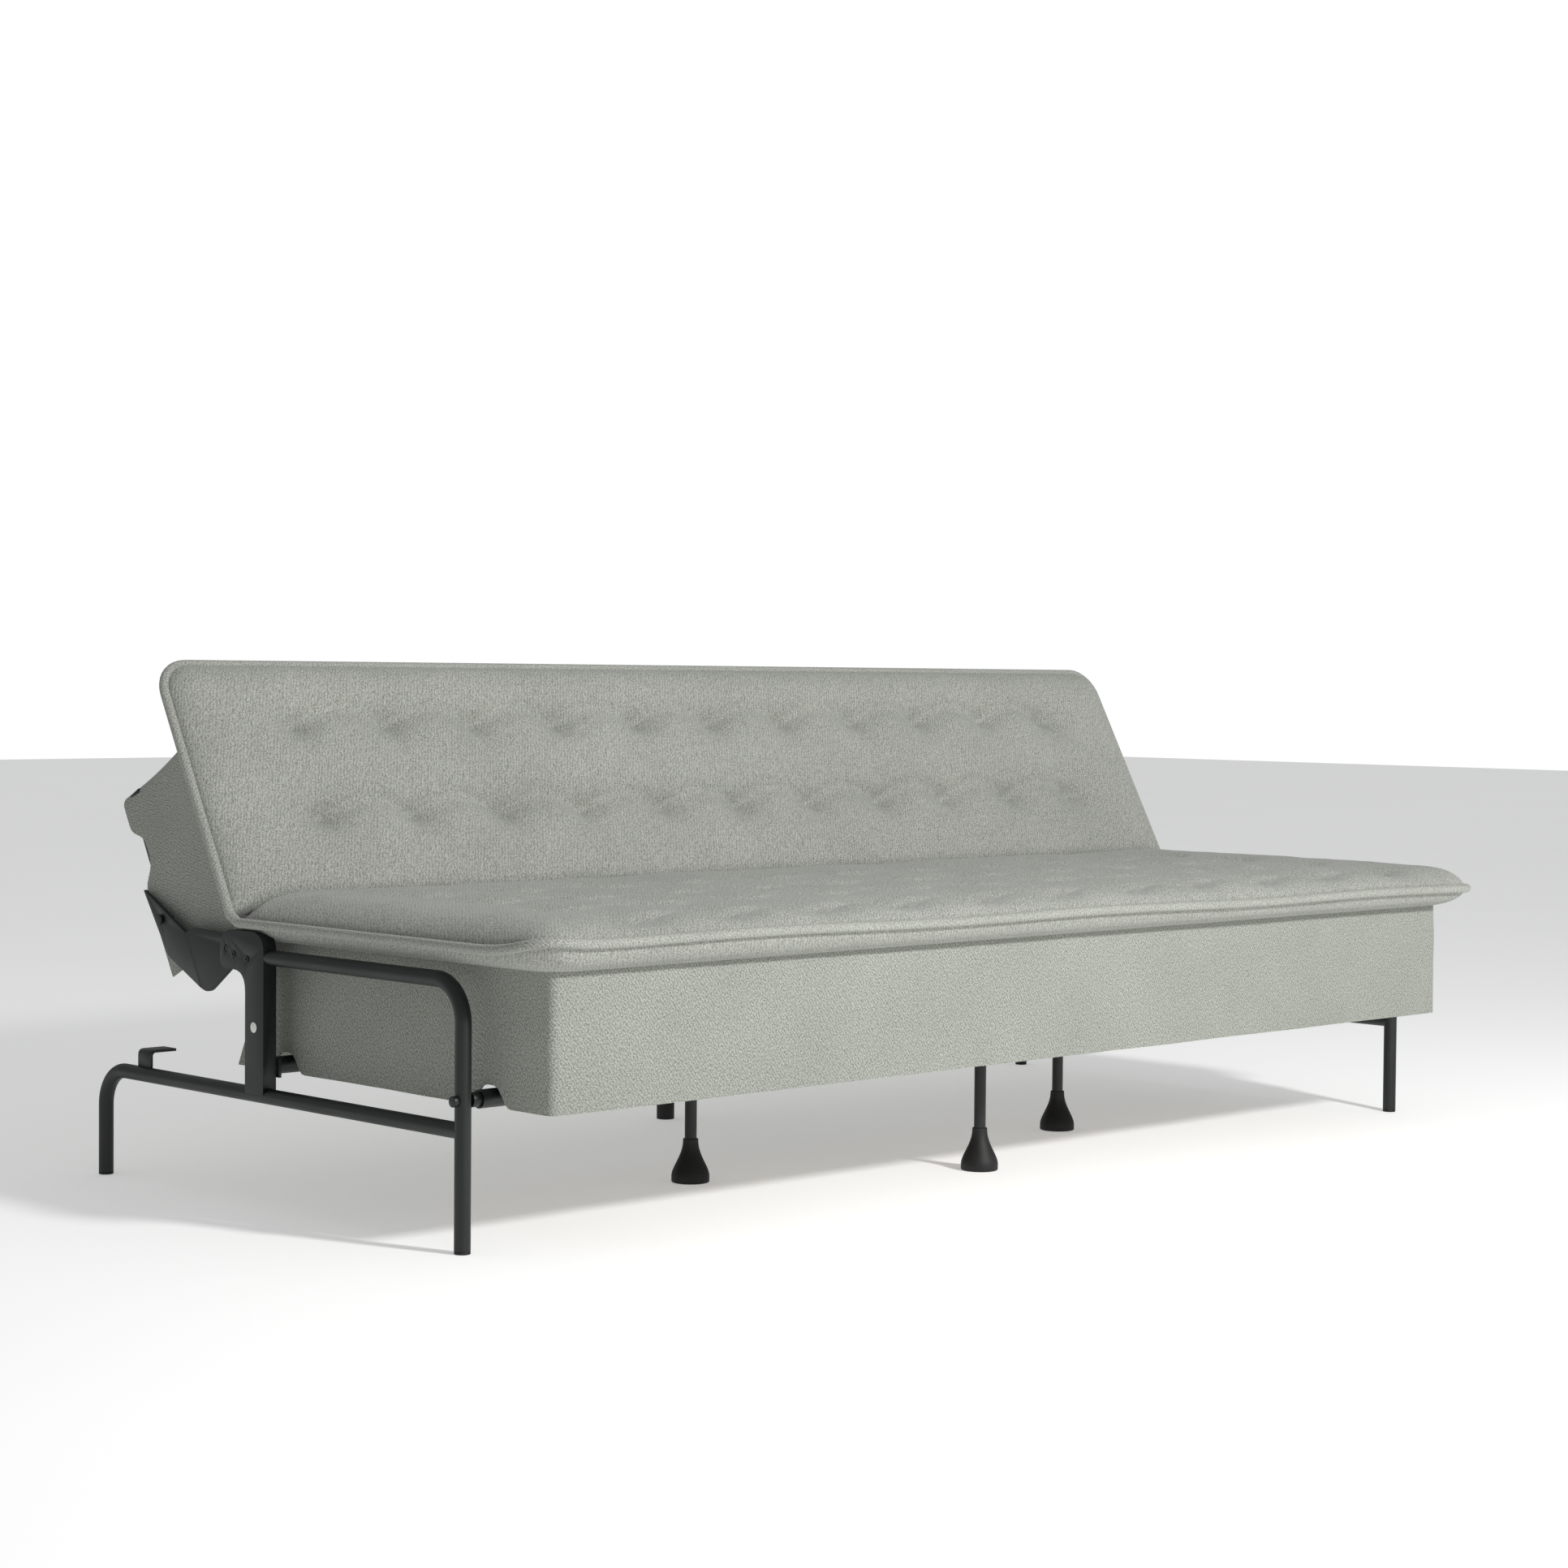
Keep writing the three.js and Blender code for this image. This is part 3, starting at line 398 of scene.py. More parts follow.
def close_ends(obj: bpy.types.Object) -> None:
    """Fills each hole left in obj by a flat face, and turns the faces out."""
    activate(obj)
    bpy.ops.object.mode_set(mode="EDIT")
    bpy.ops.mesh.select_all(action="SELECT")
    bpy.ops.mesh.fill_holes(sides=0)
    bpy.ops.mesh.select_all(action="SELECT")
    bpy.ops.mesh.normals_make_consistent(inside=False)
    bpy.ops.object.mode_set(mode="OBJECT")


def smooth(obj: bpy.types.Object, degrees: float = 180.0) -> None:
    """Shades obj smooth, with edges sharper than the angle left crisp."""
    activate(obj)
    if degrees >= 180:
        bpy.ops.object.shade_smooth()
    else:
        bpy.ops.object.shade_smooth_by_angle(angle=math.radians(degrees))


def surface(
    name: str,
    counts: tuple[int, int],
    shape: Callable[[np.ndarray, np.ndarray], np.ndarray],
    size: tuple[float, float] = (1.0, 1.0),
) -> bpy.types.Object:
    """Shapes a grid into a curved surface.

    Args:
        name: the new object's name.
        counts: faces along the grid's two sides.
        shape: takes each vertex's s and t, from 0 to 1, and returns its place.
        size: the cloth's real length along s and t, which its UV map is in.

    Returns:
        The new mesh object.
    """
    deselect()
    bpy.ops.mesh.primitive_grid_add(x_subdivisions=counts[0], y_subdivisions=counts[1], size=2)
    obj = bpy.context.active_object
    obj.name = obj.data.name = name
    unit = (places(obj)[:, :2] + 1) / 2
    put(obj, shape(unit[:, 0], unit[:, 1]))
    layer = obj.data.uv_layers.active.data
    flat = np.empty(len(layer) * 2, np.float32)
    layer.foreach_get("uv", flat)
    layer.foreach_set("uv", (flat.reshape(-1, 2) * np.array(size, np.float32)).ravel())
    return obj


def cord_loop(name: str, path: np.ndarray, radius: float, sides: int) -> bpy.types.Object:
    """Sweeps a round section along a path that comes back to its start.

    Args:
        name: the new object's name.
        path: rows x, y, z.
        radius: the section's radius.
        sides: faces round the section.

    Returns:
        The new mesh object, with its UV map in metres along the path.
    """
    points = np.vstack([path, path[:1]])
    steps = np.diff(points, axis=0)
    lengths = np.linalg.norm(steps, axis=1)
    ahead = np.vstack([steps, steps[:1]])
    behind = np.vstack([steps[-1:], steps])
    tangents = ahead / np.linalg.norm(ahead, axis=1)[:, None]
    tangents = tangents + behind / np.linalg.norm(behind, axis=1)[:, None]
    tangents /= np.linalg.norm(tangents, axis=1)[:, None]
    across = np.cross(tangents[0], [0.12, 0.31, 0.94])
    frames = []
    for tangent in tangents:
        across = across - tangent * float(across @ tangent)
        across = across / np.linalg.norm(across)
        frames.append((across, np.cross(tangent, across)))
    sides_u, sides_v = np.array([f[0] for f in frames]), np.array([f[1] for f in frames])
    count = len(points) - 1
    twist = math.atan2(sides_u[0] @ sides_v[-1], sides_u[0] @ sides_u[-1])

    def shape(s: np.ndarray, t: np.ndarray) -> np.ndarray:
        """Places the rolled grid's vertices."""
        at = np.rint(s * count).astype(int)
        turn = t * 2 * math.pi + twist * s
        spread = np.cos(turn)[:, None] * sides_u[at] + np.sin(turn)[:, None] * sides_v[at]
        return points[at] + radius * spread

    obj = surface(name, (count, sides), shape, (float(lengths.sum()), 2 * math.pi * radius))
    close_doubles(obj, 0.05 * MM)
    smooth(obj, 40)
    return obj


def rounded(corners: Sequence[Sequence[float]], radius: float, turns: int = 12) -> np.ndarray:
    """Joins corners by straight runs and arcs.

    Args:
        corners: rows x, y, z, the first and last being the path's ends.
        radius: the radius of every bend.
        turns: steps in a bend.

    Returns:
        The path's points.
    """
    given = [np.array(c, float) for c in corners]
    path = [given[0]]
    for before, corner, after in zip(given, given[1:], given[2:]):
        back = (before - corner) / np.linalg.norm(before - corner)
        on = (after - corner) / np.linalg.norm(after - corner)
        half = math.acos(max(-1.0, min(1.0, float(back @ on)))) / 2
        reach = radius / math.tan(half)
        middle = corner + (back + on) / np.linalg.norm(back + on) * radius / math.sin(half)
        start, end = corner + back * reach - middle, corner + on * reach - middle
        span = math.pi - 2 * half
        for k in range(turns + 1):
            a = span * k / turns
            path.append(middle + (start * math.sin(span - a) + end * math.sin(a)) / math.sin(span))
    path.append(given[-1])
    return np.array(path)


def graded(count: int, fine: float = 0.35, reach: int = 9) -> np.ndarray:
    """Spaces count cells from 0 to 1, narrower near both ends.

    Args:
        count: how many cells.
        fine: the end cells' width as a share of the middle ones'.
        reach: how many cells it takes to grow to full width.

    Returns:
        The count + 1 borders between the cells.
    """
    order = np.arange(count)
    near = np.clip(np.minimum(order, count - 1 - order) / reach, 0, 1)
    widths = fine + (1 - fine) * near * near * (3 - 2 * near)
    return np.concatenate([[0], np.cumsum(widths)]) / widths.sum()


def ripple(points: np.ndarray, size: float, seed: float = 0.0) -> np.ndarray:
    """Smooth noise from -1 to 1 at each point.

    Args:
        points: rows x, y, z.
        size: the noise's feature size.
        seed: a shift, so that two pieces differ.

    Returns:
        One number for each point.
    """
    shift = Vector((seed, 1.7 * seed, -seed))
    return np.array([noise.noise(Vector(p) / size + shift) for p in points])


def dress(
    obj: bpy.types.Object,
    material: bpy.types.Material,
    body: str | None,
    nodes: Iterable[str] = (),
) -> bpy.types.Object:
    """Gives a piece its finish, its body and the nodes that it stands for.

    Args:
        obj: the finished mesh.
        material: its finish.
        body: the body that it rides on, or None for a piece that spans the fold, which is then left on no
            body.
        nodes: the CAD nodes that it replaces.

    Returns:
        obj.
    """
    obj.data.materials.clear()
    obj.data.materials.append(material)
    if body:
        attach(obj, body)
    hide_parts(*nodes)
    LOG.info("%s: %d faces", obj.name, len(obj.data.polygons))
    return obj


# ---------------------------------------------------------------- the two mattresses

FOLD = np.array([0.0, 0.166, 0.400])  # the seam that the back folds along
TILT = math.radians(61.5)  # the back's slope above level
MATTRESS_HALF = 1.030
TUFT_STEP = 1 / 6
TUFTS = 11
FOLD_GAP = 0.013  # from the fold to each mattress's near seam
SEAM_STEP = 0.008  # between points along the corded seam
CLOTH_STEP = 0.0065  # between points along a skirt


@dataclass(frozen=True)
class PadPlane:
    """A mattress's seam plane: x along the sofa, v away from the fold, w out of its padded face."""

    slope: float
    face: float = 1.0

    def world(self, x: np.ndarray, v: np.ndarray, w: np.ndarray) -> np.ndarray:
        """Turns plane coordinates into rows x, y, z of the row frame."""
        along = np.array([0.0, -math.cos(self.slope), math.sin(self.slope)])
        out = self.face * np.array([0.0, math.sin(self.slope), math.cos(self.slope)])
        level = FOLD + np.multiply.outer(x, [1.0, 0.0, 0.0])
        return level + np.multiply.outer(v, along) + np.multiply.outer(w, out)


def rise(share: np.ndarray, power: float = 0.6) -> np.ndarray:
    """A crown's profile, from 0 at the seam, where it is upright, to 1 on the level."""
    return (1 - (1 - np.clip(share, 0, 1)) ** 2.2) ** power


@dataclass
class TuftedPad:
    """One mattress of the cover: a crowned top with rows of pulled tufts, over a belly tucked in below.

    The tufts have no buttons. Each is a small dimple, and arched creases run between neighbours.
    """

    name: str
    node: str
    body: str
    plane: PadPlane
    far: float
    rows: tuple[float, ...]
    scallop: float
    crown: float
    belly: float
    waist_side: float
    waist_end: float
    depth: float
    seed: float
    near: float = FOLD_GAP
    half: float = MATTRESS_HALF
    corner: float = 0.045
    shoulder: float = 0.085
    fold_shoulder: float = 0.034
    pull: float = 0.018
    pull_radius: float = 0.015
    dish: float = 0.012
    dish_radius: float = 0.050
    crease: float = 0.0105
    crease_sharp: float = 0.006
    crease_soft: float = 0.022
    valley: float = 0.0050
    valley_half: float = 0.040
    counts: tuple[int, int] = (240, 80)

    def plan(self, s: np.ndarray, t: np.ndarray) -> tuple[np.ndarray, np.ndarray]:
        """Lays the grid out to the mattress's outline, which has two rounded corners.

        Args:
            s: from 0 to 1 along the sofa.
            t: from 0 at the fold to 1 at the far seam.

        Returns:
            Each vertex's x and v.
        """
        columns, rows = self.counts
        x = self.half * (2 * np.interp(s, np.linspace(0, 1, columns + 1), graded(columns)) - 1)
        v = self.near + (self.far - self.near) * np.interp(t, np.linspace(0, 1, rows + 1), graded(rows))
        r = self.corner
        px = np.clip((abs(x) - self.half + r) / r, 0, 1)
        pv = np.clip((v - self.far + r) / r, 0, 1)
        x = np.where(px > 0, np.sign(x) * (self.half - r + r * px * np.sqrt(1 - pv * pv / 2)), x)
        v = np.where(pv > 0, self.far - r + r * pv * np.sqrt(1 - px * px / 2), v)
        return x, v

    def inside(self, x: np.ndarray, v: np.ndarray) -> np.ndarray:
        """How far a place is from the rounded seam, the fold end left out."""
        qx, qv = abs(x) - self.half + self.corner, v - self.far + self.corner
        outer = np.hypot(np.maximum(qx, 0), np.maximum(qv, 0))
        return self.corner - outer - np.minimum(np.maximum(qx, qv), 0)

    def lift(self, x: np.ndarray, v: np.ndarray) -> np.ndarray:
        """How far the seam rises out of its plane. A back's seam is flat."""
        return 0 * x * v

    def tufting(self, x: np.ndarray, v: np.ndarray) -> np.ndarray:
        """How deep the tufts and the creases between them pull the crown in."""
        deep = 0 * x
        column = np.clip(np.rint(x / TUFT_STEP), -(TUFTS // 2), TUFTS // 2)
        dx = x - column * TUFT_STEP
        span = np.clip(x / TUFT_STEP + TUFTS // 2, 0, TUFTS - 1)
        arch = np.sin(math.pi * (span - np.floor(span)))
        run = np.clip((MATTRESS_HALF - 0.13 - abs(x)) / 0.06, 0, 1)
        for row in self.rows:
            r = np.hypot(dx, v - row)
            deep += self.pull * np.exp(-((r / self.pull_radius) ** 1.3))
            deep += self.dish * np.exp(-((r / self.dish_radius) ** 2))
            off = v - row - self.scallop * arch
            edge = np.where(off * np.sign(self.scallop) > 0, self.crease_sharp, self.crease_soft)
            crease = self.crease * np.exp(-((off / edge) ** 2))
            deep += run * (crease + self.valley * np.exp(-((off / self.valley_half) ** 2)))
        return deep

    def height(self, x: np.ndarray, v: np.ndarray) -> np.ndarray:
        """The padded face's height over the seam plane."""
        seam = self.lift(x, v)
        full = rise(self.inside(x, v) / self.shoulder) * rise((v - self.near) / self.fold_shoulder)
        flat = np.column_stack([x, v, 0 * x])
        uneven = 0.0030 * ripple(flat, 0.16, self.seed) + 0.0012 * ripple(flat, 0.045, self.seed + 5)
        return seam * (1 - full) + (self.crown + uneven - self.tufting(x, v)) * full

    def levels(self) -> list[tuple[float, float, float]]:
        """The sides' steps down from the seam.

        Returns:
            For each step, the share of the waist drawn in, the share of the belly's drop, and the drop
            below the belly.
        """
        steps = 9
        turn = [math.radians(90 * k / steps) for k in range(1, steps + 1)]
        curved = [(1 - math.cos(a), math.sin(a), 0.0) for a in turn]
        floor = self.depth - self.belly
        return curved + [(1.06, 1.0, 0.008), (1.08, 1.0, floor - 0.01), (1.4, 1.0, floor)]

    def hang_sides(self, obj: bpy.types.Object, x: np.ndarray, v: np.ndarray) -> None:
        """Draws the rim down into the belly and in under the mattress.

        Args:
            obj: the padded face, still an open sheet.
            x: its vertices' x.
            v: its vertices' v.
        """
        mesh = bmesh.new()
        mesh.from_mesh(obj.data)
        mesh.verts.ensure_lookup_table()
        rim = [edge for edge in mesh.edges if edge.is_boundary]
        at = {vert: (x[vert.index], v[vert.index]) for edge in rim for vert in edge.verts}
        for waist, drop, below in self.levels():
            made = bmesh.ops.extrude_edge_only(mesh, edges=rim)["geom"]
            rim = [item for item in made if isinstance(item, bmesh.types.BMEdge) and item.is_boundary]
            fresh = {vert for edge in rim for vert in edge.verts}
            above = {vert: [e.other_vert(vert) for e in vert.link_edges] for vert in fresh}
            at = {vert: next(at[old] for old in above[vert] if old in at) for vert in fresh}
            side, end = waist * self.waist_side, waist * self.waist_end
            for vert in fresh:
                px, pv = at[vert]
                seam = float(self.lift(np.array(px), np.array(pv)))
                near = self.near + 0.004 * waist
                qx = px * (1 - side / self.half)
                qv = near + (pv - self.near) * (self.far - end - near) / (self.far - self.near)
                w = seam - (self.belly + seam) * drop - below
                vert.co = Vector(self.plane.world(np.array(qx), np.array(qv), np.array(w)))
        bmesh.ops.recalc_face_normals(mesh, faces=mesh.faces)
        mesh.to_mesh(obj.data)
        mesh.free()

    def build(self, finishes: Finishes) -> bpy.types.Object:
        """Makes the mattress.

        Args:
            finishes: every finish.

        Returns:
            The pad.
        """
        kept: dict[str, np.ndarray] = {}

        def shape(s: np.ndarray, t: np.ndarray) -> np.ndarray:
            """Places the padded face's vertices."""
            kept["x"], kept["v"] = self.plan(s, t)
            return self.plane.world(kept["x"], kept["v"], self.height(kept["x"], kept["v"]))

        obj = surface(self.name, self.counts, shape, (2 * self.half, self.far))
        self.hang_sides(obj, kept["x"], kept["v"])
        obj.modifiers.new("soften", "SUBSURF").levels = 1
        apply_modifiers(obj)
        close_ends(obj)
        smooth(obj)
        return dress(obj, finishes.cover, self.body, [self.node])

    def seam(self, out: float) -> np.ndarray:
        """The seam's path from the left end of the fold round to its right end.

        Args:
            out: how far outside the seam the path runs.

        Returns:
            Rows x, y, z.
        """
        wide, end, r = self.half + out, self.far + out, self.corner + out
        corners = [(-wide, self.near, 0), (-wide, end, 0), (wide, end, 0), (wide, self.near, 0)]
        path = respaced(rounded(corners, r), SEAM_STEP)
        x, v = path[:, 0], path[:, 1]
        return self.plane.world(x, v, self.lift(x, v))


def respaced(path: np.ndarray, step: float) -> np.ndarray:
    """Spaces a path's points evenly, at about one step."""
    along = np.concatenate([[0], np.cumsum(np.linalg.norm(np.diff(path, axis=0), axis=1))])
    even = np.linspace(0, along[-1], max(2, round(along[-1] / step)) + 1)
    return np.column_stack([np.interp(even, along, path[:, k]) for k in range(3)])


@dataclass
class SeatPad(TuftedPad):
    """The seat's mattress, whose front seam sits higher at the left and is bunched at that corner."""

    front_left: float = 0.013
    front_right: float = 0.003
    bunch: float = 0.006

    def lift(self, x: np.ndarray, v: np.ndarray) -> np.ndarray:
        """How far the seam rises out of its plane."""
        share = np.clip((x + self.half) / (2 * self.half), 0, 1)
        front = self.front_left + (self.front_right - self.front_left) * share**0.8
        ahead = np.clip((v - self.far + 0.14) / 0.14, 0, 1) ** 2
        corner = np.exp(-(np.hypot(x + self.half, v - self.far) / 0.055) ** 2)
        wave = 0.0016 * np.sin(x * 9.0 + 1.0) * ahead
        return front * ahead + self.bunch * corner + wave


@dataclass
class CoverSeams:
    """The cord sewn into the cover's seam all the way round, and the strip that the two halves fold on."""

    seat: TuftedPad
    back: TuftedPad
    radius: float = 0.007
    out: float = 0.003
    hinge_reach: float = 0.020
    gusset_reach: float = 0.045
    gusset_sunk: float = 0.010
    gusset_cloth: float = 0.003

    def bend(self, obj: bpy.types.Object) -> None:
        """Bakes a piece's placement into its mesh. The fold's two points, a reach either side of it, are
        worked out but not used, so the piece does not turn at the fold and is not split between the base and
        the back.
        """
        middle, reach = np.array(0.0), np.array(self.hinge_reach)
        start, end = (pad.plane.world(middle, reach, middle) for pad in (self.seat, self.back))
        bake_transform(obj)

    def cord(self, finishes: Finishes) -> bpy.types.Object:
        """Makes the corded seam, one loop round both mattresses."""
        loop = np.vstack([self.seat.seam(self.out), self.back.seam(self.out)[::-1]])
        even = respaced(np.vstack([loop, loop[:1]]), SEAM_STEP)[:-1]
        obj = cord_loop("cover_cord", even, self.radius, 16)
        self.bend(obj)
        return dress(obj, finishes.cord, None)

    def gusset(self, finishes: Finishes) -> bpy.types.Object:
        """Makes the strip of cover that joins the mattresses under the fold."""
        reach, wide = self.gusset_reach, self.seat.half - 0.03

        def shape(s: np.ndarray, t: np.ndarray) -> np.ndarray:
            """Places the strip's vertices, the seat's half first."""
            x, far = wide * (2 * s - 1), reach * (2 * t - 1)
            sunk = -self.gusset_sunk + 0 * x
            seat = self.seat.plane.world(x, -far, sunk)
            back = self.back.plane.world(x, far, sunk)
            return np.where((far < 0)[:, None], seat, back)

        obj = surface("fold_gusset", (120, 10), shape, (2 * wide, 2 * reach))
        wall = obj.modifiers.new("wall", "SOLIDIFY")
        wall.thickness, wall.offset = self.gusset_cloth, 0.0
        apply_modifiers(obj)
        smooth(obj, 50)
        self.bend(obj)
        return dress(obj, finishes.skirt, None)


# ---------------------------------------------------------------- the skirts


def stiffen(obj: bpy.types.Object, thickness: float) -> None:
    """Gives a sheet its cloth's thickness and smooths it."""
    wall = obj.modifiers.new("cloth", "SOLIDIFY")
    wall.thickness, wall.offset = thickness, 0.0
    apply_modifiers(obj)
    smooth(obj, 60)


@dataclass
class StripLine:
    """The line that a skirt's strip follows in plan: up one end, across, and down the other.

    Outward is the side away from the middle. Its hand is 1 where that side is to the right of the way
    along, and -1 where it is to the left.
    """

    corners: list[tuple[float, float, float]]
    radius: float
    hand: float

    def __post_init__(self) -> None:
        """Spaces the line's points and finds which way is out at each."""
        self.path = respaced(rounded(self.corners, self.radius), CLOTH_STEP)
        steps = np.gradient(self.path, axis=0)
        out = self.hand * np.column_stack([steps[:, 1], -steps[:, 0], 0 * steps[:, 0]])
        self.out = out / np.linalg.norm(out, axis=1)[:, None]
        self.count = len(self.path) - 1
        self.length = float(np.linalg.norm(np.diff(self.path, axis=0), axis=1).sum())


def bump_at(along: np.ndarray, middle: float, half: float) -> np.ndarray:
    """A rounded arch of height 1 over a stretch, which falls to 0 either side."""
    return np.exp(-(((along - middle) / half) ** 4))


@dataclass
class SeatSkirt:
    """The cloth that hangs under the seat: one strip round both ends and the front, and one at the back.

    Its hem is cut away where the front leg's bolt and the hinge's crossbar pass.
    """

    seat: TuftedPad
    half: float = 0.977
    front: float = -0.475
    top: float = 0.378
    hem: float = 0.188
    behind_top: float = 0.352
    rear_top: float = 0.150
    rear_hem: float = 0.228
    corner: float = 0.009
    cloth: float = 0.0024
    arch_lift: float = 0.029
    arch_half: float = 0.027
    arches: tuple[float, ...] = (-0.353, 0.1075)

    def round_strip(self, finishes: Finishes) -> bpy.types.Object:
        """Makes the strip round the ends and the front."""
        corners = [
            (-self.half, self.rear_top, 0), (-self.half, self.front, 0),
            (self.half, self.front, 0), (self.half, self.rear_top, 0),
        ]
        line = StripLine(corners, self.corner, 1.0)
        path, out, count, length = line.path, line.out, line.count, line.length

        def shape(s: np.ndarray, t: np.ndarray) -> np.ndarray:
            """Places the strip's vertices, s from its left end and t from its top."""
            at = np.rint(s * count).astype(int)
            place = path[at].copy()
            back = np.clip((place[:, 1] - self.front - 0.1) / (self.rear_top - self.front - 0.1), 0, 1)
            place[:, 1] += back * t * (self.rear_hem - self.rear_top)
            side = abs(place[:, 0]) > self.half - 0.5 * self.corner
            arch = sum(self.arch_lift * bump_at(place[:, 1], y, self.arch_half) for y in self.arches)
            hem = self.hem + side * arch
            place[:, 2] = self.top + (hem - self.top) * t
            run = np.column_stack([s * length, t * 0.19, 0 * s])
            sway = 0.0045 * t * ripple(run * [1, 0.25, 1], 0.19, 3.0) + 0.0012 * ripple(run, 0.05, 8.0)
            return place + out[at] * (sway + 0.0015 * t)[:, None]

        obj = surface("seat_skirt", (count, 22), shape, (length, self.top - self.hem))
        stiffen(obj, self.cloth)
        nodes = ["seat_skirt_front", "seat_skirt_left", "seat_skirt_right"]
        return dress(obj, finishes.skirt, BASE, nodes)

    def rear_panel(self, finishes: Finishes) -> bpy.types.Object:
        """Makes the panel behind the seat's frame, which slopes to the rear."""
        wide = self.half - 0.004
        drop = math.hypot(self.rear_hem - self.rear_top, self.top - self.hem)

        def shape(s: np.ndarray, t: np.ndarray) -> np.ndarray:
            """Places the panel's vertices, t from its top."""
            x = wide * (2 * s - 1)
            sway = 0.003 * t * ripple(np.column_stack([x, 0 * x, 0 * x]), 0.21, 6.0)
            y = self.rear_top + (self.rear_hem - self.rear_top) * t - 0.002 - abs(sway)
            return np.column_stack([x, y, self.behind_top + (self.hem - self.behind_top) * t])

        obj = surface("seat_skirt_behind", (150, 14), shape, (2 * wide, drop))
        stiffen(obj, self.cloth)
        return dress(obj, finishes.skirt, BASE, ["seat_skirt_rear"])


@dataclass
class BackSkirt:
    """The cloth drawn over the back's frame, from the cover's seam rearwards, round both ends and the top."""

    back: TuftedPad
    half: float = 1.008
    start: float = 0.009
    end: float = 0.303
    shallow: float = 0.034
    deep: float = 0.212
    corner: float = 0.018
    cloth: float = 0.0024
    arch_at: float = 0.200
    arch_half: float = 0.036
    arch_lift: float = 0.028

    def build(self, finishes: Finishes) -> bpy.types.Object:
        """Makes the strip."""
        corners = [
            (-self.half, self.start, 0), (-self.half, self.end, 0),
            (self.half, self.end, 0), (self.half, self.start, 0),
        ]
        line = StripLine(corners, self.corner, -1.0)
        path, out, count, length = line.path, line.out, line.count, line.length

        def shape(s: np.ndarray, t: np.ndarray) -> np.ndarray:
            """Places the strip's vertices, t from the seam to the hem."""
            at = np.rint(s * count).astype(int)
            side = abs(path[at, 0]) > self.half - 0.5 * self.corner
            hem = self.deep - side * self.arch_lift * bump_at(path[at, 1], self.arch_at, self.arch_half)
            depth = self.shallow + (hem - self.shallow) * t
            run = np.column_stack([s * length, t * 0.18, 0 * s])
            sway = 0.0025 * t * ripple(run * [1, 0.3, 1], 0.16, 2.0) - 0.0035 * np.sin(math.pi * t)
            place = path[at] + out[at] * sway[:, None]
            return self.back.plane.world(place[:, 0], place[:, 1], -depth)

        obj = surface("back_skirt", (count, 20), shape, (length, self.deep - self.shallow))
        stiffen(obj, self.cloth)
        nodes = ["back_skirt_left", "back_skirt_right", "back_skirt_top"]
        return dress(obj, finishes.skirt, BACKREST, nodes)


# ---------------------------------------------------------------- the steel frame


@dataclass
class BentTube:
    """A round tube made by extruding a ring along straight runs and spinning it round bends."""

    name: str
    start: Vector
    heading: Vector
    radius: float
    sides: int = 40
    bend: float = 0.055

    def __post_init__(self) -> None:
        """Adds the ring at the tube's start, in edit mode."""
        deselect()
        turn = self.heading.to_track_quat("Z", "Y").to_euler()
        bpy.ops.mesh.primitive_circle_add(
            vertices=self.sides, radius=self.radius, location=self.start, rotation=turn
        )
        self.obj = bpy.context.active_object
        bpy.ops.object.transform_apply(location=True, rotation=True, scale=True)
        bpy.ops.object.mode_set(mode="EDIT")
        bpy.ops.mesh.select_all(action="SELECT")
        self.at = self.start.copy()

    def run(self, length: float) -> None:
        """Carries the tube straight on by a length."""
        step = self.heading * length
        bpy.ops.mesh.extrude_region_move(TRANSFORM_OT_translate={"value": step})
        self.at = self.at + step

    def turn(self, towards: Vector) -> None:
        """Bends the tube by a right angle towards a direction."""
        middle = self.at + towards * self.bend
        axis = towards.cross(self.heading)
        bpy.ops.mesh.spin(steps=16, angle=math.radians(90), center=middle, axis=axis)
        self.at = middle + self.heading * self.bend
        self.heading = towards

    def finish(self) -> bpy.types.Object:
        """Closes the ends and shades the tube.

        Returns:
            The mesh object.
        """
        bpy.ops.object.mode_set(mode="OBJECT")
        close_doubles(self.obj, 0.01 * MM, outward=False)
        close_ends(self.obj)
        self.obj.name = self.obj.data.name = self.name
        smooth(self.obj, 40)
        return self.obj


def turned(
    name: str, foot: Vector, profile: Sequence[tuple[float, float]], sides: int = 48
) -> bpy.types.Object:
    """Turns a profile about an upright line.

    Args:
        name: the new object's name.
        foot: where the line meets the floor.
        profile: pairs of a radius and a height, from the floor up.
        sides: faces round the piece.

    Returns:
        The closed mesh object.
    """
    deselect()
    radius, height = profile[0]
    place = Vector((foot.x, foot.y, height))
    bpy.ops.mesh.primitive_circle_add(vertices=sides, radius=radius, location=place)
    obj = bpy.context.active_object
    bpy.ops.object.transform_apply(location=True, rotation=True, scale=True)
    bpy.ops.object.mode_set(mode="EDIT")
    bpy.ops.mesh.select_all(action="SELECT")
    for wide, high in profile[1:]:
        bpy.ops.mesh.extrude_region_move(TRANSFORM_OT_translate={"value": (0, 0, high - height)})
        share = wide / radius
        bpy.ops.transform.resize(value=(share, share, 1), center_override=(foot.x, foot.y, high))
        radius, height = wide, high
    bpy.ops.object.mode_set(mode="OBJECT")
    close_ends(obj)
    obj.name = obj.data.name = name
    smooth(obj, 35)
    return obj


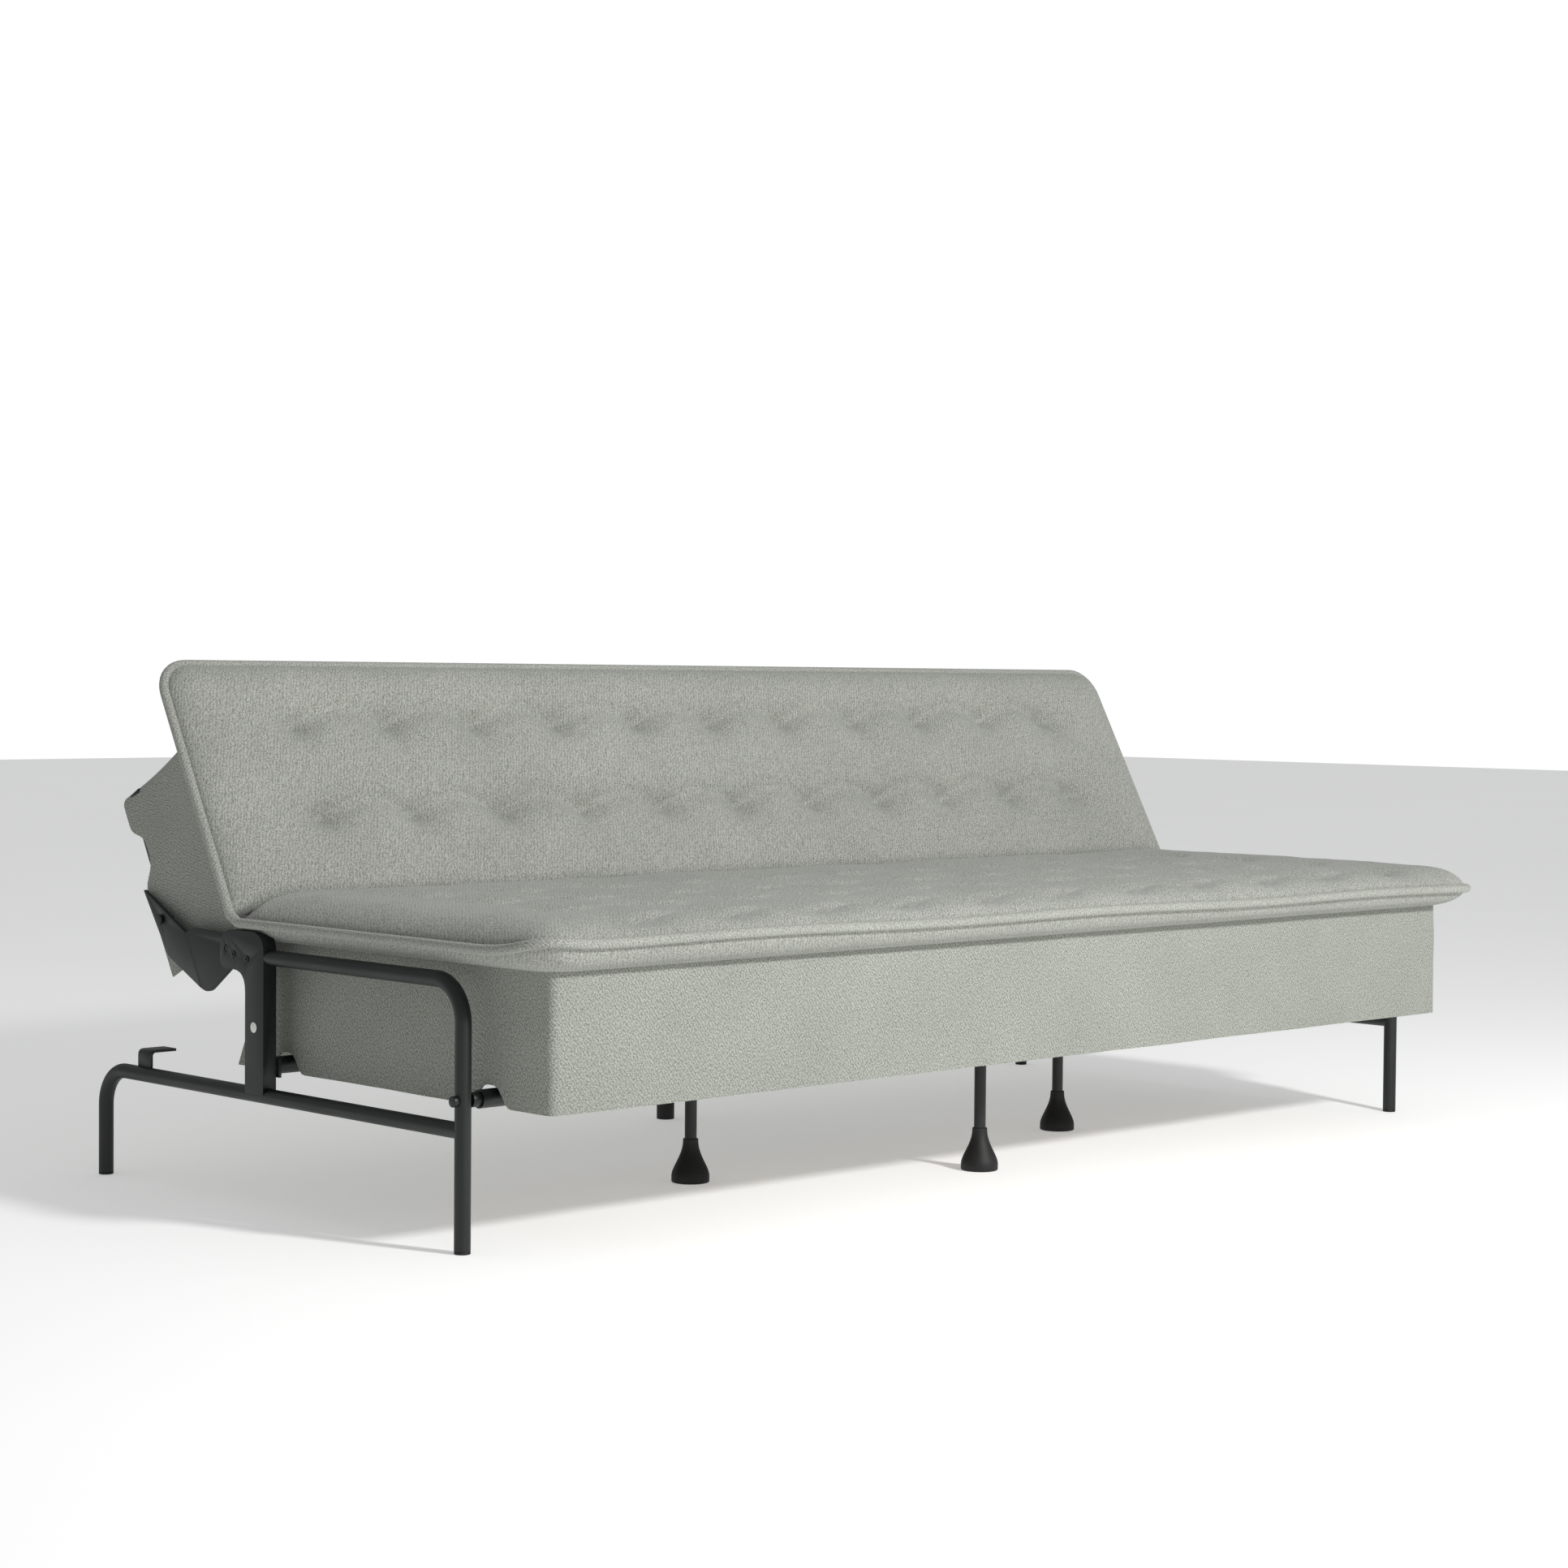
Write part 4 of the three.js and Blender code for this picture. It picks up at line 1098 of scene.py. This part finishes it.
def eased_copy(node: str, ease: float, sharp: float = 30.0) -> bpy.types.Object:
    """Copies a CAD node as one welded mesh with its edges eased.

    Args:
        node: the CAD node's name.
        ease: how wide the easing on each edge is.
        sharp: edges that turn more than this many degrees are eased.

    Returns:
        The copy, whose name ends in _eased.
    """
    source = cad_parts[node]
    obj = bpy.data.objects.new(node + "_eased", source.data.copy())
    obj.data.name = obj.name
    bpy.context.scene.collection.objects.link(obj)
    close_doubles(obj, outward=False)
    if ease:
        bevel = obj.modifiers.new("eased", "BEVEL")
        bevel.width, bevel.segments = ease, 2
        bevel.limit_method, bevel.angle_limit = "ANGLE", math.radians(sharp)
        apply_modifiers(obj)
    smooth(obj, 32)
    return obj


@dataclass
class EasedParts:
    """Small fittings that keep their CAD shape, with their edges eased as a press or a mould leaves them."""

    finishes: Finishes

    def put_all(self) -> None:
        """Replaces every such node by its eased copy."""
        steel, plastic = self.finishes.steel, self.finishes.plastic
        beech, badge = self.finishes.beech, self.finishes.badge
        pressed = ("hinge_post", "rest_hook", "leg_spacer", "leg_bolt")
        both = [f"{part}_{end}" for end in ENDS for part in pressed]
        bolts = [f"head_bolt_{end}_{i}" for end in ENDS for i in (1, 2)]
        pins = [f"hinge_pin_{end}" for end in ENDS]
        self.copy_each(both + pins, 0.7 * MM, steel, BASE)
        self.copy_each(bolts, 0.3 * MM, steel, BASE)
        self.copy_each(["rear_cross_tube"], 0.8 * MM, steel, BASE)
        self.copy_each([f"seat_rail_{end}" for end in ENDS], 0.8 * MM, steel, BASE)
        glides = [f"glide_{place}_{end}" for end in ENDS for place in ("front", "rear")]
        self.copy_each(glides, 0.6 * MM, plastic, BASE)
        self.copy_each(["centre_rest_pad", "foot_rear_centre"], 0.8 * MM, plastic, BASE)
        self.copy_each([f"seat_slat_{i}" for i in (1, 2, 3)], 2.5 * MM, beech, BASE)
        self.copy_each([f"post_badge_{end}" for end in ENDS], 0.2 * MM, badge, BASE)
        rails = [f"back_rail_{end}" for end in ENDS] + ["back_cross_rail_lower", "back_cross_rail_upper"]
        self.copy_each(rails, 0.8 * MM, steel, BACKREST)
        fixings = [f"{part}_{end}" for end in ENDS for part in ("back_bracket", "back_bolt")]
        self.copy_each(fixings, 0.7 * MM, steel, BACKREST)
        self.copy_each(["back_slat_1", "back_slat_2"], 2.5 * MM, beech, BACKREST)

    def copy_each(
        self, nodes: Iterable[str], ease: float, material: bpy.types.Material, body: str
    ) -> None:
        """Replaces some nodes by eased copies of one finish."""
        for node in nodes:
            dress(eased_copy(node, ease), material, body, [node])


@dataclass
class FrameTubes:
    """The bent end frames, the beam and bars between them, and the inner legs."""

    finishes: Finishes
    tube: float = 0.011

    def build(self) -> None:
        """Makes every round tube."""
        for end, side in ENDS.items():
            self.end_frame(end, side)
        self.centre_beam()
        for bar in ("front_cross_tube", "mid_cross_tube"):
            low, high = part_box(bar)
            middle = (low + high) / 2
            start = Vector((low.x, middle.y, middle.z))
            self.straight(bar, start, Vector((1, 0, 0)), high.x - low.x, (high.z - low.z) / 2)
        for place in ("front_centre", "mid_left", "mid_right"):
            low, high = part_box(f"leg_{place}")
            middle = (low + high) / 2
            foot = Vector((middle.x, middle.y, low.z))
            self.straight(f"leg_{place}", foot, Vector((0, 0, 1)), high.z - low.z, (high.x - low.x) / 2)
            self.flared_foot(f"foot_{place}")

    def end_frame(self, end: str, side: float) -> None:
        """Makes an end's front leg, which bends back into the arm tube, and its lower rail and rear leg."""
        low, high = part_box(f"front_leg_{end}")
        x, bend = (low.x + high.x) / 2, BentTube.bend
        foot = Vector((x, low.y + self.tube, low.z))
        leg = BentTube(f"front_leg_{end}_bent", foot, Vector((0, 0, 1)), self.tube)
        leg.run(high.z - low.z - self.tube - bend)
        leg.turn(Vector((0, 1, 0)))
        leg.run(high.y - leg.at.y)
        dress(leg.finish(), self.finishes.steel, BASE, [f"front_leg_{end}"])
        low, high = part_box(f"lower_rail_{end}")
        start = low.y
        front = Vector((x, start, high.z - self.tube))
        rail = BentTube(f"lower_rail_{end}_bent", front, Vector((0, 1, 0)), self.tube)
        rail.run(high.y - self.tube - bend - start)
        rail.turn(Vector((0, 0, -1)))
        rail.run(rail.at.z - low.z)
        dress(rail.finish(), self.finishes.steel, BASE, [f"lower_rail_{end}"])

    def centre_beam(self) -> None:
        """Makes the beam under the seat's middle, which turns down into the rear middle leg."""
        low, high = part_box("centre_beam")
        front = Vector((0, low.y, high.z - self.tube))
        beam = BentTube("centre_beam_bent", front, Vector((0, 1, 0)), self.tube)
        beam.run(high.y - self.tube - BentTube.bend - low.y)
        beam.turn(Vector((0, 0, -1)))
        beam.run(beam.at.z - low.z)
        dress(beam.finish(), self.finishes.steel, BASE, ["centre_beam"])

    def straight(self, node: str, start: Vector, heading: Vector, length: float, radius: float) -> None:
        """Makes a straight tube in a node's place."""
        bar = BentTube(f"{node}_round", start, heading, radius)
        bar.run(length)
        dress(bar.finish(), self.finishes.steel, BASE, [node])

    def flared_foot(self, node: str) -> None:
        """Makes a flared plastic foot, widest at the floor."""
        low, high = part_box(node)
        middle = (low + high) / 2
        base, tall, top = (high.x - low.x) / 2, high.z, 0.0115
        rounding = [(base - 2 * MM, 0.0), (base - 0.6 * MM, 0.6 * MM), (base, 2 * MM)]
        flare = []
        for k in range(1, 15):
            q = k / 14
            share = 0.5 + 0.5 * math.cos(math.pi * q**0.8)
            flare.append((top + (base - top) * share, 0.16 * tall + 0.80 * tall * q))
        lip = [(top, tall - 0.8 * MM), (top - 0.8 * MM, tall)]
        profile = rounding + [(base, 0.16 * tall)] + flare + lip
        foot = turned(f"{node}_turned", Vector((middle.x, middle.y, 0)), profile)
        dress(foot, self.finishes.plastic, BASE, [node])


# ---------------------------------------------------------------- the studio


@dataclass(frozen=True)
class MattFloor(Finish):
    """Seamless white studio paper: matt, with barely visible tone changes."""

    def build(self) -> bpy.types.Material:
        """Builds the material on Object coordinates."""
        material, tree, shader, place = self.start()
        cloud = add_node(tree, "ShaderNodeTexNoise", {0: place, "Scale": 0.8, "Detail": 2.0})
        colour = add_ramp(tree, cloud.outputs["Fac"], [(0.2, linear("f0f0ef")), (0.8, linear("f4f4f3"))])
        tree.links.new(colour, shader.inputs["Base Color"])
        shader.inputs["Roughness"].default_value = 0.9
        shader.inputs["Specular IOR Level"].default_value = 0.1
        shader.inputs["Emission Color"].default_value = linear("f4f5f5")
        shader.inputs["Emission Strength"].default_value = 0.36
        return material


@dataclass
class Studio:
    """The floor, the lights and the camera."""

    eye: tuple[float, float, float] = (-3.510, -3.541, 0.753)
    yaw: float = 43.8
    pitch: float = -1.97
    roll: float = 0.48
    lens: float = 71.46
    key_at: tuple[float, float, float] = (0.0, -3.58, 2.25)
    key_aim: tuple[float, float, float] = (0.0, 0.2, 0.35)
    key_power: float = 132.0
    key_size: float = 0.40
    sky: float = 0.36

    def build(self) -> None:
        """Sets up the studio."""
        deselect()
        bpy.ops.mesh.primitive_grid_add(x_subdivisions=8, y_subdivisions=8, size=40)
        floor = bpy.context.active_object
        floor.name = floor.data.name = "studio_floor"
        floor.data.materials.append(MattFloor("white_studio_paper").build())
        self.add_camera()
        self.add_light("key", self.key_at, self.key_aim, self.key_power, self.key_size)
        world = bpy.data.worlds.new("studio")
        world.use_nodes = True
        tree = world.node_tree
        tree.nodes["Background"].inputs[0].default_value = linear("fbfcfc")
        path = add_node(tree, "ShaderNodeLightPath")
        strength = add_node(
            tree, "ShaderNodeMix", {0: path.outputs["Is Camera Ray"], "A": self.sky, "B": 1.05}
        )
        tree.links.new(strength.outputs[0], tree.nodes["Background"].inputs[1])
        bpy.context.scene.world = world
        bpy.context.scene.view_settings.view_transform = "Standard"

    def add_camera(self) -> None:
        """Adds the camera, level but for a slight roll."""
        yaw, pitch, roll = (math.radians(a) for a in (self.yaw, self.pitch, self.roll))
        ahead = Vector((math.sin(yaw) * math.cos(pitch), math.cos(yaw) * math.cos(pitch), math.sin(pitch)))
        right = Vector((math.cos(yaw), -math.sin(yaw), 0))
        above = right.cross(ahead)
        turned_right = math.cos(roll) * right + math.sin(roll) * above
        turned_up = math.cos(roll) * above - math.sin(roll) * right
        data = bpy.data.cameras.new("camera")
        data.lens, data.sensor_width = self.lens, 36.0
        camera = bpy.data.objects.new("camera", data)
        axes = Matrix((turned_right, turned_up, -ahead)).transposed().to_4x4()
        camera.matrix_world = Matrix.Translation(Vector(self.eye)) @ axes
        bpy.context.scene.collection.objects.link(camera)
        bpy.context.scene.camera = camera

    def add_light(
        self, name: str, at: Sequence[float], aim: Sequence[float], power: float, size: float
    ) -> None:
        """Adds a disc-shaped light aimed at a point."""
        data = bpy.data.lights.new(name, "AREA")
        data.shape, data.size, data.energy = "DISK", size, power
        light = bpy.data.objects.new(name, data)
        light.location = at
        light.rotation_euler = (Vector(aim) - Vector(at)).to_track_quat("-Z", "Y").to_euler()
        bpy.context.scene.collection.objects.link(light)


def main() -> None:
    """Builds the sofa bed, from the steel up to the cover, and the studio round it."""
    finishes = Finishes()
    EasedParts(finishes).put_all()
    FrameTubes(finishes).build()
    seat = SeatPad(
        name="seat_pad", node="seat_mattress", body=BASE, plane=PadPlane(0.0), far=0.686,
        rows=(0.155, 0.307, 0.459, 0.611), scallop=-0.022, crown=0.042, belly=0.028, waist_side=0.056,
        waist_end=0.048, depth=0.148, seed=1.0,
    )
    back = TuftedPad(
        name="back_pad", node="back_mattress", body=BACKREST, plane=PadPlane(math.pi - TILT, -1.0), far=0.411,
        rows=(0.158, 0.310), scallop=0.024, crown=0.036, belly=0.040, waist_side=0.030, waist_end=0.112,
        depth=0.155, seed=4.0, counts=(240, 52),
    )
    seat.build(finishes)
    back.build(finishes)
    seams = CoverSeams(seat, back)
    seams.cord(finishes)
    seams.gusset(finishes)
    skirt = SeatSkirt(seat)
    skirt.round_strip(finishes)
    skirt.rear_panel(finishes)
    BackSkirt(back).build(finishes)
    Studio().build()


if __name__ == "__main__":
    main()
